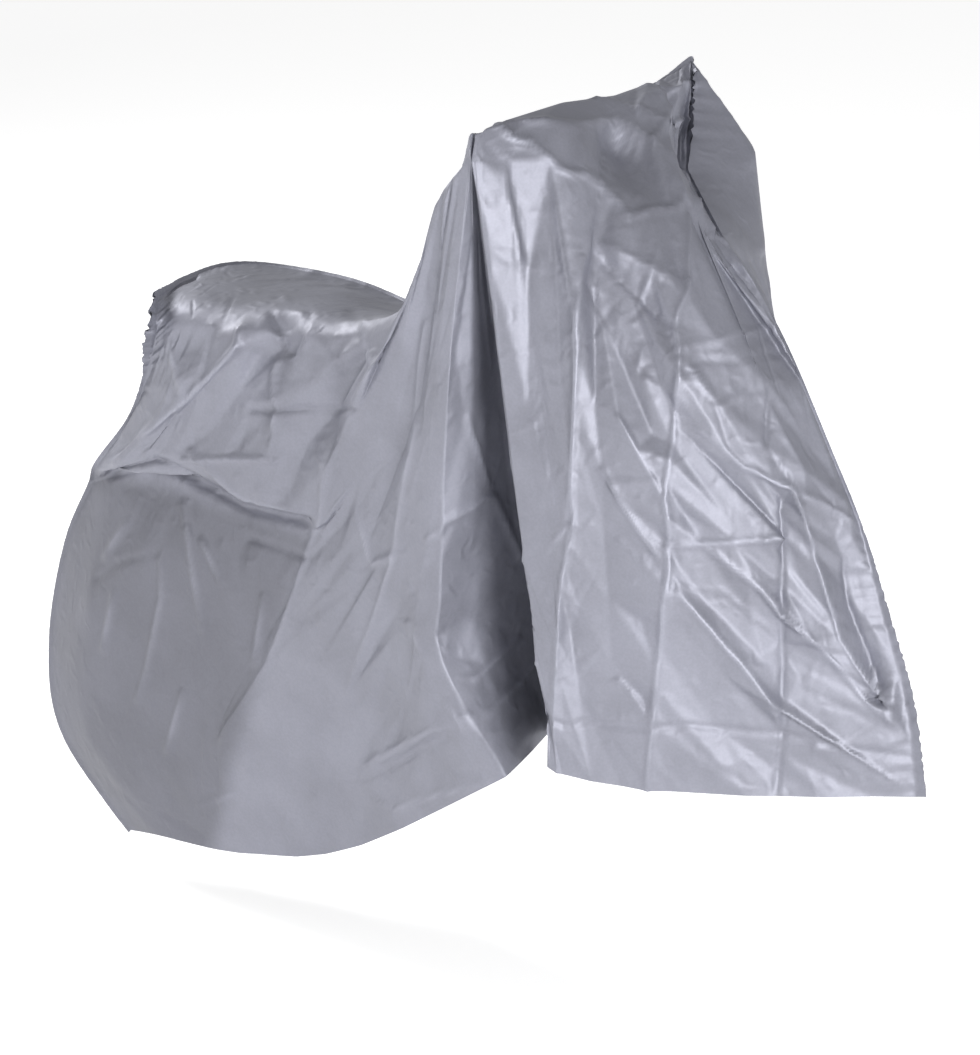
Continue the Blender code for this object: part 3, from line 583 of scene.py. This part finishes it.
def fold_heights(folds, along, up):
    """How far the folds move each point of the grid outwards."""
    place = np.stack(np.meshgrid(along, up * PANEL_HEIGHT, indexing="ij"), axis=-1)
    total = np.zeros(place.shape[:2])
    for row in folds:
        start = np.array(row["start"]) * (1.0, PANEL_HEIGHT)
        run = np.array(row["end"]) * (1.0, PANEL_HEIGHT) - start
        share = np.clip(((place - start) @ run) / (run @ run), 0, 1)
        off = np.linalg.norm(place - start - share[..., None] * run, axis=-1) / row["width"]
        total += row["height"] * np.where(off < 1, (1 - off) ** 2 * (1 + 2 * off), 0)
    return total


def borders(grid):
    """The three sewn edges of a grid with the lines next to them, each edge in order."""
    return {
        "rear": (grid[0], grid[1]),
        "top": (grid[:, -1], grid[:, -2]),
        "front": (grid[-1], grid[-2]),
    }


def across(vectors, line):
    """Vectors of length one at right angles to a line of unit vectors."""
    return unit(vectors - np.sum(vectors * line, axis=-1, keepdims=True) * line)


def smoothed(line, rounds=3):
    """A line of vectors evened out along its length."""
    for _ in range(rounds):
        line = np.concatenate([line[:1], (line[:-2] + 2 * line[1:-1] + line[2:]) / 4, line[-1:]])
    return line


def ends_kept(line):
    """The line with each end's value taken from the point next to it."""
    return np.concatenate([line[1:2], line[1:-1], line[-2:-1]])


def seam_frame(near, far):
    """For each sewn edge: outward direction of the allowance, and the way to the near side."""
    frame = {}
    near_faces = borders(normals(near, -1))
    far_faces = borders(normals(far, 1))
    for edge, (seam, inner) in borders(near).items():
        tangent = unit(np.gradient(seam, axis=0))
        near_way = across(seam - inner, tangent)
        far_way = across(seam - borders(far)[edge][1], tangent)
        out = near_way + far_way + near_faces[edge][0] + far_faces[edge][0]
        out = across(ends_kept(smoothed(unit(out))), tangent)
        side = unit(np.cross(tangent, out))
        side *= np.sign(ends_kept(np.sum(side * (far_way - near_way), axis=-1, keepdims=True)))
        frame[edge] = (out, side)
    return frame


def grid_lines(steps):
    """Places of the grid's lines, from places that each have a number of cells to the next."""
    lines = [steps[0][0]]
    for (start, cells), (end, _) in zip(steps[:-1], steps[1:]):
        lines.extend(np.linspace(start, end, cells + 1)[1:])
    return np.array(lines)


def fitted(grid, other, up):
    """The grid with its top edge moved onto the other panel's, fading out below the seam."""
    share = np.clip(1 - (1 - up) / JOIN_SHARE, 0, 1) ** 2
    return grid + (other[:, -1] - grid[:, -1])[:, None] * share[None, :, None]


def rounded(grid, along, up):
    """The grid with the hump's upper edge rounded off."""
    soft = grid.copy()
    for _ in range(EDGE_ROUNDS):
        soft[:, 1:-1] = (soft[:, :-2] + 2 * soft[:, 1:-1] + soft[:, 2:]) / 4
    (low, low_fade), (high, high_fade) = EDGE_LOW, EDGE_HIGH
    share = np.clip((HUMP_FRONT - along) / EDGE_FRONT_FADE, 0, 1)[:, None]
    share = share * np.clip((up - low) / low_fade, 0, 1) * np.clip((high - up) / high_fade, 0, 1)
    return grid + (soft - grid) * share[..., None]


def photo_pixels(points):
    """Where points of the part fall in the photograph, in its pixels."""
    away = points - TARGET
    scale = DISTANCE / (DISTANCE - away @ BACK) / PIXEL
    across_picture = PHOTO_SIZE[0] / 2 + (away @ RIGHT) * scale
    down_picture = PHOTO_SIZE[1] / 2 - (away @ UPWARD) * scale
    return np.stack([across_picture, down_picture], axis=-1)


def crease_profile(distance, half_width):
    """1 on the crest, falling along straight flanks with a slightly rounded foot."""
    share = np.clip(1 - distance / half_width, 0, 1)
    return share * (FLANK[0] + FLANK[1] * share)


def crest_lines(creases, pixels, along):
    """Outward move and paleness, from 0 to 1, of each point by the thin lines on the crests; the
    paleness is whitening of the coating with painted highlight.
    """
    total = np.zeros(pixels.shape[:2])
    worn_and_lit = np.zeros(pixels.shape[:2])
    for row in creases:
        first, last = PARTS[row["part"]]
        inside = np.clip(np.minimum(along - first, last - along) / PART_FADE, 0, 1)[:, None]
        line = np.array(row["pixels"], float)
        nearest = np.full(pixels.shape[:2], FAR_OFF)
        reached = np.zeros(pixels.shape[:2])
        lengths = run_lengths(line)
        for start, end, behind in zip(line[:-1], line[1:], lengths):
            run = end - start
            share = np.clip((pixels - start) @ run / (run @ run), 0, 1)
            off = np.linalg.norm(pixels - start - share[..., None] * run, axis=-1)
            reached = np.where(off < nearest, behind + share * np.linalg.norm(run), reached)
            nearest = np.minimum(nearest, off)
        ends = np.clip(np.minimum(reached, lengths[-1] - reached) / (WEAR_AND_SHEEN_END * lengths[-1]), 0, 1)
        profile = crease_profile(nearest * PIXEL, row["line_width"]) * inside
        total += row["line"] * profile
        # only ridges get a paler crest, whitening with painted highlight
        if row["line"] > 0:
            worn_and_lit = np.maximum(worn_and_lit, profile * row["wear_and_sheen"] * (END_WEAR_AND_SHEEN + (1 - END_WEAR_AND_SHEEN) * ends))
    return total, worn_and_lit


def crease_corners(row, pixels, depth, facing, along, up):
    """Places on the flat panel, in metres, of a crease read from the photograph's pixels."""
    first, last = PARTS[row["part"]]
    hidden = ~facing | ((along < first) | (along > last))[:, None]
    line = np.array(row["pixels"], float)
    places = []
    for start, end in zip(line[:-1], line[1:]):
        steps = max(1, round(np.linalg.norm(end - start) * PIXEL / CREASE_STEP))
        for step in range(steps + (end is line[-1])):
            places.append(start + (end - start) * step / steps)
    places.append(line[-1])
    corners = []
    for place in places:
        off = np.linalg.norm(pixels - place, axis=-1)
        cost = np.where(hidden | (off > CREASE_SEARCH), FAR_OFF, depth + off * SEARCH_COST)
        column, level = np.unravel_index(np.argmin(cost), cost.shape)
        if cost[column, level] < FAR_OFF:
            corner = (along[column], up[level] * PANEL_HEIGHT)
            if not corners or math.dist(corner, corners[-1]) > CORNER_GAP:
                corners.append(corner)
    return corners


def area_value(areas, key, along, level):
    """A value of the areas at places of the panel, changing softly between them."""
    total = np.full(np.broadcast(along, level).shape, PLAIN_AREA)
    for row in areas:
        inside = 1.0
        for place, (first, last) in ((along, row["along"]), (level, row["up"])):
            # an area that starts or ends at the panel's edge does not fade out there
            first = first if first > 0 else -BEYOND
            last = last if last not in (1.0, PANEL_LENGTH) else PANEL_LENGTH + BEYOND
            reach = np.minimum(place - first, last - place) / AREA_MARGIN + 0.5
            inside = inside * np.clip(reach, 0, 1)
        total = total + (row[key] - total) * inside
    return total


def sampled(grid, along, up, places):
    """What the grid holds at places on the flat panel, in metres."""
    column = np.interp(places[:, 0], along, np.arange(len(along)))
    row = np.interp(places[:, 1] / PANEL_HEIGHT, up, np.arange(len(up)))
    first = np.minimum(column.astype(int), len(along) - 2)
    low = np.minimum(row.astype(int), len(up) - 2)
    u = (column - first)[:, None]
    v = (row - low)[:, None]
    return ((grid[first, low] * (1 - u) + grid[first + 1, low] * u) * (1 - v)
            + (grid[first, low + 1] * (1 - u) + grid[first + 1, low + 1] * u) * v)


def kept_lines(folds):
    """Lines of corners without height that the facets keep.

    They are the folds up the panel and, from the first fold on, the levels of its turns.
    """
    steps = np.linspace(0, PANEL_HEIGHT, round(PANEL_HEIGHT / KEPT_STEP) + 1)
    lines = [(0.0, [(place, step) for step in steps]) for place in folds]
    steps = np.arange(folds[0], PANEL_LENGTH + KEPT_STEP / 2, KEPT_STEP).clip(0, PANEL_LENGTH)
    for name in KEPT_LEVELS:
        lines.append((0.0, [(step, LEVELS[name] * PANEL_HEIGHT) for step in steps]))
    return lines


def flat(places, slant):
    """Places on the flat panel, drawn together and slanted so that facets come out long."""
    leaning = places[:, 0] + np.interp(places[:, 0], *zip(*slant)) * places[:, 1]
    return np.stack([leaning / FACET_ALONG, places[:, 1] / FACET_UP], axis=-1)


def unflat(point, slant):
    """The place on the flat panel that flat() moved to a point."""
    height = point[1] * FACET_UP
    table = np.linspace(0, PANEL_LENGTH, UNFLAT_STEPS)
    leaning = table + np.interp(table, *zip(*slant)) * height
    return (np.interp(point[0] * FACET_ALONG, leaning, table), height)


def faceted(grid, way, lines, areas, slant, along, up, seed):
    """The grid's surface as flat facets between creases."""
    chance = np.random.default_rng(seed)
    corners, heights, edges = [], [], []
    for height, line in lines:
        for number, corner in enumerate(line):
            if number:
                edges.append((len(corners) - 1, len(corners)))
            end = CREASE_END if number in (0, len(line) - 1) else 1.0
            corners.append(corner)
            heights.append(height * end * chance.uniform(*CREST_SPREAD))
    planned = np.array(corners)
    columns = round(PANEL_LENGTH / FACET_ALONG)
    levels = round(PANEL_HEIGHT / FACET_UP)
    for column in range(columns + 1):
        for level in range(levels + 1):
            x = (column + chance.uniform(-CORNER_SHIFT, CORNER_SHIFT)) / columns * PANEL_LENGTH
            y = (level + chance.uniform(-CORNER_SHIFT, CORNER_SHIFT)) / levels * PANEL_HEIGHT
            x = 0.0 if column == 0 else PANEL_LENGTH if column == columns else x
            y = 0.0 if level == 0 else PANEL_HEIGHT if level == levels else y
            height = chance.uniform(-1, 1) * FACET_HEIGHT
            border = column in (0, columns) or level in (0, levels)
            if chance.random() < LEFT_OUT and not border:
                continue
            if np.min(np.hypot(planned[:, 0] - x, planned[:, 1] - y)) < CREASE_CLEAR:
                continue
            corners.append((x, y))
            heights.append(height * float(area_value(areas, "crumple", x, y / PANEL_HEIGHT)))
    known = np.array(corners)
    found = delaunay_2d_cdt([Vector(corner) for corner in flat(known, slant)], edges, [], 0,
                            CORNER_MERGE)
    places = np.array([known[sources[0]] if sources else unflat(point, slant)
                       for point, sources in zip(found[0], found[3])])
    values = np.empty(len(places))
    for number, sources in enumerate(found[3]):
        if sources:
            values[number] = heights[sources[0]]
        else:
            gap = np.linalg.norm(known - places[number], axis=1) + CORNER_MERGE
            near_ones = np.argsort(gap)[:2]
            values[number] = np.average(np.array(heights)[near_ones], weights=1 / gap[near_ones])
    points = sampled(grid, along, up, places) + sampled(way, along, up, places) * values[:, None]
    total = grid.copy()
    level = up * PANEL_HEIGHT
    for face in found[2]:
        (ax, ay), (bx, by), (cx, cy) = places[face[0]], places[face[1]], places[face[2]]
        width = (by - cy) * (ax - cx) + (cx - bx) * (ay - cy)
        columns = np.nonzero((along >= min(ax, bx, cx)) & (along <= max(ax, bx, cx)))[0]
        rows = np.nonzero((level >= min(ay, by, cy)) & (level <= max(ay, by, cy)))[0]
        if abs(width) < TINY or not len(columns) or not len(rows):
            continue
        x = along[columns][:, None]
        y = level[rows][None]
        first = ((by - cy) * (x - cx) + (cx - bx) * (y - cy)) / width
        second = ((cy - ay) * (x - cx) + (ax - cx) * (y - cy)) / width
        third = 1 - first - second
        inside = ((first >= -TINY) & (second >= -TINY) & (third >= -TINY))[..., None]
        mixed = (first[..., None] * points[face[0]] + second[..., None] * points[face[1]]
                 + third[..., None] * points[face[2]])
        window = np.ix_(columns, rows)
        total[window] = np.where(inside, mixed, total[window])
    share = area_value(areas, "facet", along[:, None], up[None])
    return grid + (total - grid) * share[..., None]


def crumple_heights(rows, along, up):
    """How far the small unplanned creases move each point outwards."""
    place = np.stack(np.meshgrid(along, up * PANEL_HEIGHT, indexing="ij"), axis=-1)
    total = np.zeros(place.shape[:2])
    for row in rows:
        chance = np.random.default_rng(row["seed"])
        for _ in range(row["count"]):
            centre = np.array([chance.uniform(*row["along"]),
                               chance.uniform(*row["up"]) * PANEL_HEIGHT])
            turn = chance.uniform(0, math.pi)
            length = chance.uniform(*row["length"])
            half_width = chance.uniform(*row["half_width"])
            slope = row["slope"] * chance.uniform(*CRINKLE_SPREAD)
            height = half_width * slope * chance.choice([-1, 1])
            bow = chance.uniform(-CRINKLE_BOW, CRINKLE_BOW)
            reach = length + half_width
            near_columns = np.abs(along - centre[0]) < reach
            near_rows = np.abs(up * PANEL_HEIGHT - centre[1]) < reach
            window = np.ix_(near_columns, near_rows)
            away = place[window] - centre
            forth = away[..., 0] * math.cos(turn) + away[..., 1] * math.sin(turn)
            aside = away[..., 1] * math.cos(turn) - away[..., 0] * math.sin(turn)
            aside = aside - bow * forth ** 2
            taper = np.clip(1 - np.abs(forth) / length, 0, 1)
            width = half_width * (CRINKLE_TIP + (1 - CRINKLE_TIP) * taper)
            profile = crease_profile(np.abs(aside), width)
            total[window] += height * profile * np.minimum(taper * CRINKLE_RISE, 1)
    return total


def uneven_wave(places, spacing, seed):
    """A wave of about this spacing along a line of places, from -1 to 1, uneven but repeatable."""
    chance = np.random.default_rng(seed)
    total = np.zeros(len(places))
    for share in WAVE_PARTS:
        phase = chance.uniform(0, 2 * math.pi)
        drift = chance.uniform(*WAVE_DRIFT)
        bend = WAVE_BEND * np.sin(places * 2 * math.pi / (spacing * WAVE_LONG) * drift + phase)
        total += np.sin(places * 2 * math.pi / (spacing / share) + phase + bend) / WAVE_SUM
    return np.clip(total, -1, 1)


def run_lengths(line):
    """Distance along a line of points from its first point."""
    return np.concatenate([[0], np.cumsum(np.linalg.norm(np.diff(line, axis=0), axis=1))])


def pucker_heights(grid, along, up, seed):
    """How far the seam's puckers move each point outwards."""
    total = np.zeros(grid.shape[:2])
    for number, edge in enumerate(("top", "rear", "front")):
        if edge == "top":
            seam = grid[:, -1]
            away = np.linalg.norm(grid - seam[:, None], axis=-1)
        else:
            seam = grid[0 if edge == "rear" else -1]
            away = np.linalg.norm(grid - seam[None], axis=-1)
        strength = np.interp(along if edge == "top" else up, *zip(*PUCKERS[edge]))
        wave = uneven_wave(run_lengths(seam), PUCKER_SPACING, seed + number) * strength
        fade = np.exp(-away / PUCKER_REACH) * np.clip(away / PUCKER_START, 0, 1)
        total += PUCKER_HEIGHT * fade * (wave[:, None] if edge == "top" else wave[None])
    return total


def fin(line, out, side, width, strength, seed):
    """Rows of points across the allowance, from its stitching to its scalloped edge."""
    places = run_lengths(line)
    wave, edge_wave = (uneven_wave(places, PUCKER_SPACING * spacing, wave_seed) * strength
                       for spacing, wave_seed in zip(FIN_SPACINGS, (seed, seed + 5)))
    rows = []
    for row in range(1, FIN_ROWS + 1):
        share = row / FIN_ROWS
        reach = width * share * (1 + FIN_SCALLOP * edge_wave * share)
        sway = FIN_WOBBLE * wave * share * np.clip(width / FIN_BROAD, FIN_LEAST_SWAY, 1)
        rows.append(line + out * reach[:, None] + side * sway[:, None])
    return rows


def sewn(grid, frame_of, sign, along, up):
    """The panel's grid with its edges parted by the seam gap and its allowance added."""
    columns, rows, _ = grid.shape
    extra = FIN_ROWS
    whole = np.zeros((columns + 2 * extra, rows + extra, 3))
    whole[extra:-extra, :rows] = grid
    for edge, column in (("rear", 0), ("front", -1)):
        out, side = frame_of[edge]
        line = grid[column] + sign * SEAM_GAP * side
        width = np.interp(up, *zip(*FIN_WIDTHS[edge]))
        strength = np.interp(up, *zip(*PUCKERS[edge]))
        inside = extra if edge == "rear" else -extra - 1
        whole[inside, :rows] = line
        rows_out = fin(line, out, side, width, strength, FIN_SEEDS[edge])
        for number, points in enumerate(rows_out, 1):
            target = extra - number if edge == "rear" else columns + extra - 1 + number
            whole[target, :rows] = points
    out, side = frame_of["top"]
    line = grid[:, -1] + sign * SEAM_GAP * side
    width = np.interp(along, *zip(*FIN_WIDTHS["top"]))
    strength = np.interp(along, *zip(*PUCKERS["top"]))
    whole[extra + 1:-extra - 1, rows - 1] = line[1:-1]
    rows_out = fin(line, out, side, width, strength, FIN_SEEDS["top"])
    for number, points in enumerate(rows_out, 1):
        whole[extra:-extra, rows - 1 + number] = points
    for corner_column, way in ((extra, -1), (columns + extra - 1, 1)):
        corner = whole[corner_column, rows - 1]
        for i in range(1, extra + 1):
            for j in range(1, extra + 1):
                edge_step = whole[corner_column + way * i, rows - 1] - corner
                top_step = whole[corner_column, rows - 1 + j] - corner
                mix = edge_step * i + top_step * j
                size = max(np.linalg.norm(edge_step), np.linalg.norm(top_step))
                length = max(np.linalg.norm(mix), TINY)
                whole[corner_column + way * i, rows - 1 + j] = corner + mix / length * size
    return whole


def panels():
    """Each creased panel as a grid of points in the part's frame, with the paleness of the crests
    at each, whitening with painted highlight.
    """
    along = grid_lines(COLUMN_STEPS)
    up = grid_lines([(LEVELS[name], cells) for name, cells in ROW_STEPS])
    near = rounded(loft(NEAR_SECTIONS, along, up), along, up)
    far = fitted(loft(closed_by(FAR_SECTIONS, along, near[:, -1]), along, up), near, up)
    edge = np.minimum(np.minimum(along, PANEL_LENGTH - along)[:, None], PANEL_HEIGHT * (1 - up))
    free = np.clip(edge / FOLD_MARGIN, 0, 1)
    near_way, far_way = normals(near, -1), normals(far, 1)
    near = near + near_way * (fold_heights(NEAR_FOLDS, along, up) * free)[..., None]
    far = far + far_way * (fold_heights(FAR_FOLDS, along, up) * free)[..., None]
    seam = seam_frame(near, far)
    free = np.clip(edge / EDGE_MARGIN, 0, 1)
    near_way, far_way = normals(near, -1), normals(far, 1)
    pixels = photo_pixels(near - np.array(ORIGIN))
    depth = DISTANCE - (near - np.array(ORIGIN) - TARGET) @ BACK
    facing = near_way @ BACK > FACING
    planned = [(row["height"] * FACET_CREST[row["part"]],
                crease_corners(row, pixels, depth, facing, along, up))
               for row in CREASES if row["half_width"] > FACET_CREASE]
    lines = kept_lines(NEAR_KEPT) + planned
    angular = faceted(near, near_way, lines, NEAR_AREAS, NEAR_SLANT, along, up, FACET_SEEDS["near"])
    near = near + (angular - near) * free[..., None]
    crests, worn_and_lit = crest_lines(CREASES, pixels, along)
    # the paler crests are kept only where the panel faces the camera
    worn_and_lit = worn_and_lit * facing * free
    small = crumple_heights(CRUMPLE, along, up) + crests
    puckers = pucker_heights(near, along, up, PUCKER_SEEDS["near"])
    near = near + near_way * (small * free + puckers)[..., None]
    lines = kept_lines(FAR_KEPT)
    angular = faceted(far, far_way, lines, FAR_AREAS, FAR_SLANT, along, up, FACET_SEEDS["far"])
    far = far + (angular - far) * free[..., None]
    small = crumple_heights(FAR_CRUMPLE, along, up)
    puckers = pucker_heights(far, along, up, PUCKER_SEEDS["far"])
    far = far + far_way * (small * free + puckers)[..., None]
    worn_and_lit = np.pad(worn_and_lit, ((FIN_ROWS, FIN_ROWS), (0, FIN_ROWS)))
    return (sewn(near, seam, 1, along, up) - ORIGIN, worn_and_lit,
            sewn(far, seam, -1, along, up) - ORIGIN, np.zeros_like(worn_and_lit))


def mesh_of(name, grid, worn_and_lit, flip):
    """A mesh object on the grid, smooth and open at the hem, with its crests' paleness, whitening
    with painted highlight, as an attribute.
    """
    columns, rows, _ = grid.shape
    index = np.arange(columns * rows).reshape(columns, rows)
    corners = [index[:-1, :-1], index[1:, :-1], index[1:, 1:], index[:-1, 1:]]
    if flip:
        corners.reverse()
    faces = np.stack(corners, axis=-1).reshape(-1, 4)
    mesh = bpy.data.meshes.new(name)
    mesh.from_pydata(grid.reshape(-1, 3).tolist(), [], faces.tolist())
    mesh.attributes.new("wear_and_sheen", "FLOAT", "POINT").data.foreach_set("value", worn_and_lit.ravel())
    mesh.shade_smooth()
    mesh.update()
    piece = bpy.data.objects.new(name, mesh)
    bpy.context.scene.collection.objects.link(piece)
    return piece


def node(tree, kind, **values):
    """A shader node with its properties and input values set."""
    made = tree.nodes.new(kind)
    for key, value in values.items():
        if hasattr(made, key):
            setattr(made, key, value)
        else:
            made.inputs[key.replace("_", " ")].default_value = value
    return made


def ramp(tree, source, low, high, low_value, high_value):
    """A smooth step of a value between two limits."""
    step = node(tree, "ShaderNodeMapRange", interpolation_type="SMOOTHSTEP")
    step.inputs["From Min"].default_value = low
    step.inputs["From Max"].default_value = high
    step.inputs["To Min"].default_value = low_value
    step.inputs["To Max"].default_value = high_value
    tree.links.new(source, step.inputs["Value"])
    return step.outputs["Result"]


def plane(tree, coordinate, direction):
    """Distance of a point along a direction."""
    dot = node(tree, "ShaderNodeVectorMath", operation="DOT_PRODUCT")
    tree.links.new(coordinate, dot.inputs[0])
    dot.inputs[1].default_value = direction
    return dot.outputs["Value"]


def multiply(tree, first, second):
    """The product of two values."""
    made = node(tree, "ShaderNodeMath", operation="MULTIPLY")
    tree.links.new(first, made.inputs[0])
    tree.links.new(second, made.inputs[1])
    return made.outputs[0]


def noise(tree, place, **values):
    """A noise texture's value."""
    made = node(tree, "ShaderNodeTexNoise", **values)
    tree.links.new(place, made.inputs["Vector"])
    return made.outputs["Fac"]


def bump(tree, height, strength, depth):
    """A bump node on a height."""
    made = node(tree, "ShaderNodeBump", Strength=strength, Distance=depth)
    tree.links.new(height, made.inputs["Height"])
    return made


def sheet_material():
    """Silver coated sheet: semi-gloss, finely crinkled, with painted shade on the rear bulge and
    paler crests.
    """
    material = bpy.data.materials.new("silver_coated_sheet_look")
    material.use_nodes = True
    tree = material.node_tree
    shader = tree.nodes["Principled BSDF"]
    place = node(tree, "ShaderNodeTexCoord").outputs["Object"]

    patches = noise(tree, place, **PATCHES)
    tone = ramp(tree, patches, *NOISE_REACH, *PATCH_TONE)
    grain = noise(tree, place, **GRAIN)
    tone = multiply(tree, tone, ramp(tree, grain, *NOISE_REACH, *GRAIN_TONE))

    # painted shade: the rear bulge below the hump's lip is darkened in colour, less on the far side
    behind = ramp(tree, plane(tree, place, REAR_SHADE_EDGE), *REAR_SHADE_EDGE_REACH, 1.0, 0.0)
    below = ramp(tree, plane(tree, place, (0.0, 0.0, 1.0)), *REAR_SHADE_TOP_REACH, 1.0, 0.0)
    near_side = ramp(tree, plane(tree, place, (0.0, 1.0, 0.0)), *REAR_SHADE_SIDE_REACH,
                     1.0, REAR_SHADE_FAR_SHARE)
    rear = multiply(tree, multiply(tree, behind, below), near_side)
    tone = multiply(tree, tone, ramp(tree, rear, 0.0, 1.0, 1.0, REAR_PAINTED_SHADE))

    # the crests of ridges are paler: whitening of the creased coating, with painted highlight
    worn_and_lit = node(tree, "ShaderNodeAttribute", attribute_name="wear_and_sheen").outputs["Fac"]
    tone = multiply(tree, tone, ramp(tree, worn_and_lit, 0.0, 1.0, 1.0, WEAR_AND_SHEEN_TONE))

    colour = node(tree, "ShaderNodeMix", data_type="RGBA", blend_type="MULTIPLY")
    colour.inputs["Factor"].default_value = 1.0
    colour.inputs["A"].default_value = SHEET_COLOUR
    tree.links.new(tone, colour.inputs["B"])
    tree.links.new(colour.outputs["Result"], shader.inputs["Base Color"])
    tree.links.new(ramp(tree, patches, *GLOSS_REACH, *ROUGHNESS), shader.inputs["Roughness"])
    shader.inputs["Metallic"].default_value = METALLIC

    crinkle = noise(tree, place, noise_type="RIDGED_MULTIFRACTAL", **CRINKLES)
    fine = noise(tree, place, noise_type="RIDGED_MULTIFRACTAL", **FINE_CRINKLES)
    first = bump(tree, crinkle, *CRINKLE_BUMP)
    second = bump(tree, fine, *FINE_BUMP)
    tree.links.new(first.outputs["Normal"], second.inputs["Normal"])
    tree.links.new(second.outputs["Normal"], shader.inputs["Normal"])
    return material


def add_stage():
    """A pale floor below the cover."""
    mesh = bpy.data.meshes.new("floor")
    corners = [(-FLOOR_SIZE, -FLOOR_SIZE, FLOOR_HEIGHT), (FLOOR_SIZE, -FLOOR_SIZE, FLOOR_HEIGHT),
               (FLOOR_SIZE, FLOOR_SIZE, FLOOR_HEIGHT), (-FLOOR_SIZE, FLOOR_SIZE, FLOOR_HEIGHT)]
    mesh.from_pydata(corners, [], [(0, 1, 2, 3)])
    floor = bpy.data.objects.new("floor", mesh)
    bpy.context.scene.collection.objects.link(floor)
    material = bpy.data.materials.new("pale_floor")
    material.use_nodes = True
    shader = material.node_tree.nodes["Principled BSDF"]
    shader.inputs["Base Color"].default_value = FLOOR_COLOUR
    shader.inputs["Roughness"].default_value = FLOOR_ROUGHNESS
    shader.inputs["Emission Color"].default_value = WHITE
    shader.inputs["Emission Strength"].default_value = FLOOR_GLOW
    mesh.materials.append(material)


def add_light(name, place, aim, size, power):
    """A square soft light at a place, aimed at a point."""
    light = bpy.data.lights.new(name, "AREA")
    light.size = size
    light.energy = power
    lamp = bpy.data.objects.new(name, light)
    lamp.location = place
    lamp.rotation_euler = (Vector(place) - Vector(aim)).to_track_quat("Z", "Y").to_euler()
    bpy.context.scene.collection.objects.link(lamp)


def add_camera():
    """The photograph's camera."""
    lens = bpy.data.cameras.new("camera")
    lens.sensor_fit = "VERTICAL"
    lens.sensor_height = SENSOR
    lens.lens = SENSOR * DISTANCE / (PHOTO_SIZE[1] * PIXEL)
    lens.clip_end = CLIP_END
    camera = bpy.data.objects.new("camera", lens)
    turn = Matrix((RIGHT, UPWARD, BACK)).transposed().to_4x4()
    camera.matrix_world = Matrix.Translation(Vector(TARGET + BACK * DISTANCE)) @ turn
    bpy.context.scene.collection.objects.link(camera)
    bpy.context.scene.camera = camera


def add_world():
    """Even white surroundings."""
    world = bpy.data.worlds.new("studio")
    world.use_nodes = True
    back = world.node_tree.nodes["Background"]
    back.inputs["Color"].default_value = WHITE
    back.inputs["Strength"].default_value = WORLD_STRENGTH
    bpy.context.scene.world = world


add_camera()
near_points, near_wear_and_sheen, far_points, far_wear_and_sheen = panels()
material = sheet_material()
for name, points, worn_and_lit, flip, cad_node in (
        ("near_sheet", near_points, near_wear_and_sheen, False, "panel_near"),
        ("far_sheet", far_points, far_wear_and_sheen, True, "panel_far")):
    piece = mesh_of(name, points, worn_and_lit, flip)
    piece.data.materials.append(material)
    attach(piece, "root")
    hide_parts(cad_node)
add_stage()
add_world()
for row in LIGHTS:
    add_light(*row)
bpy.context.scene.view_settings.view_transform = "Standard"
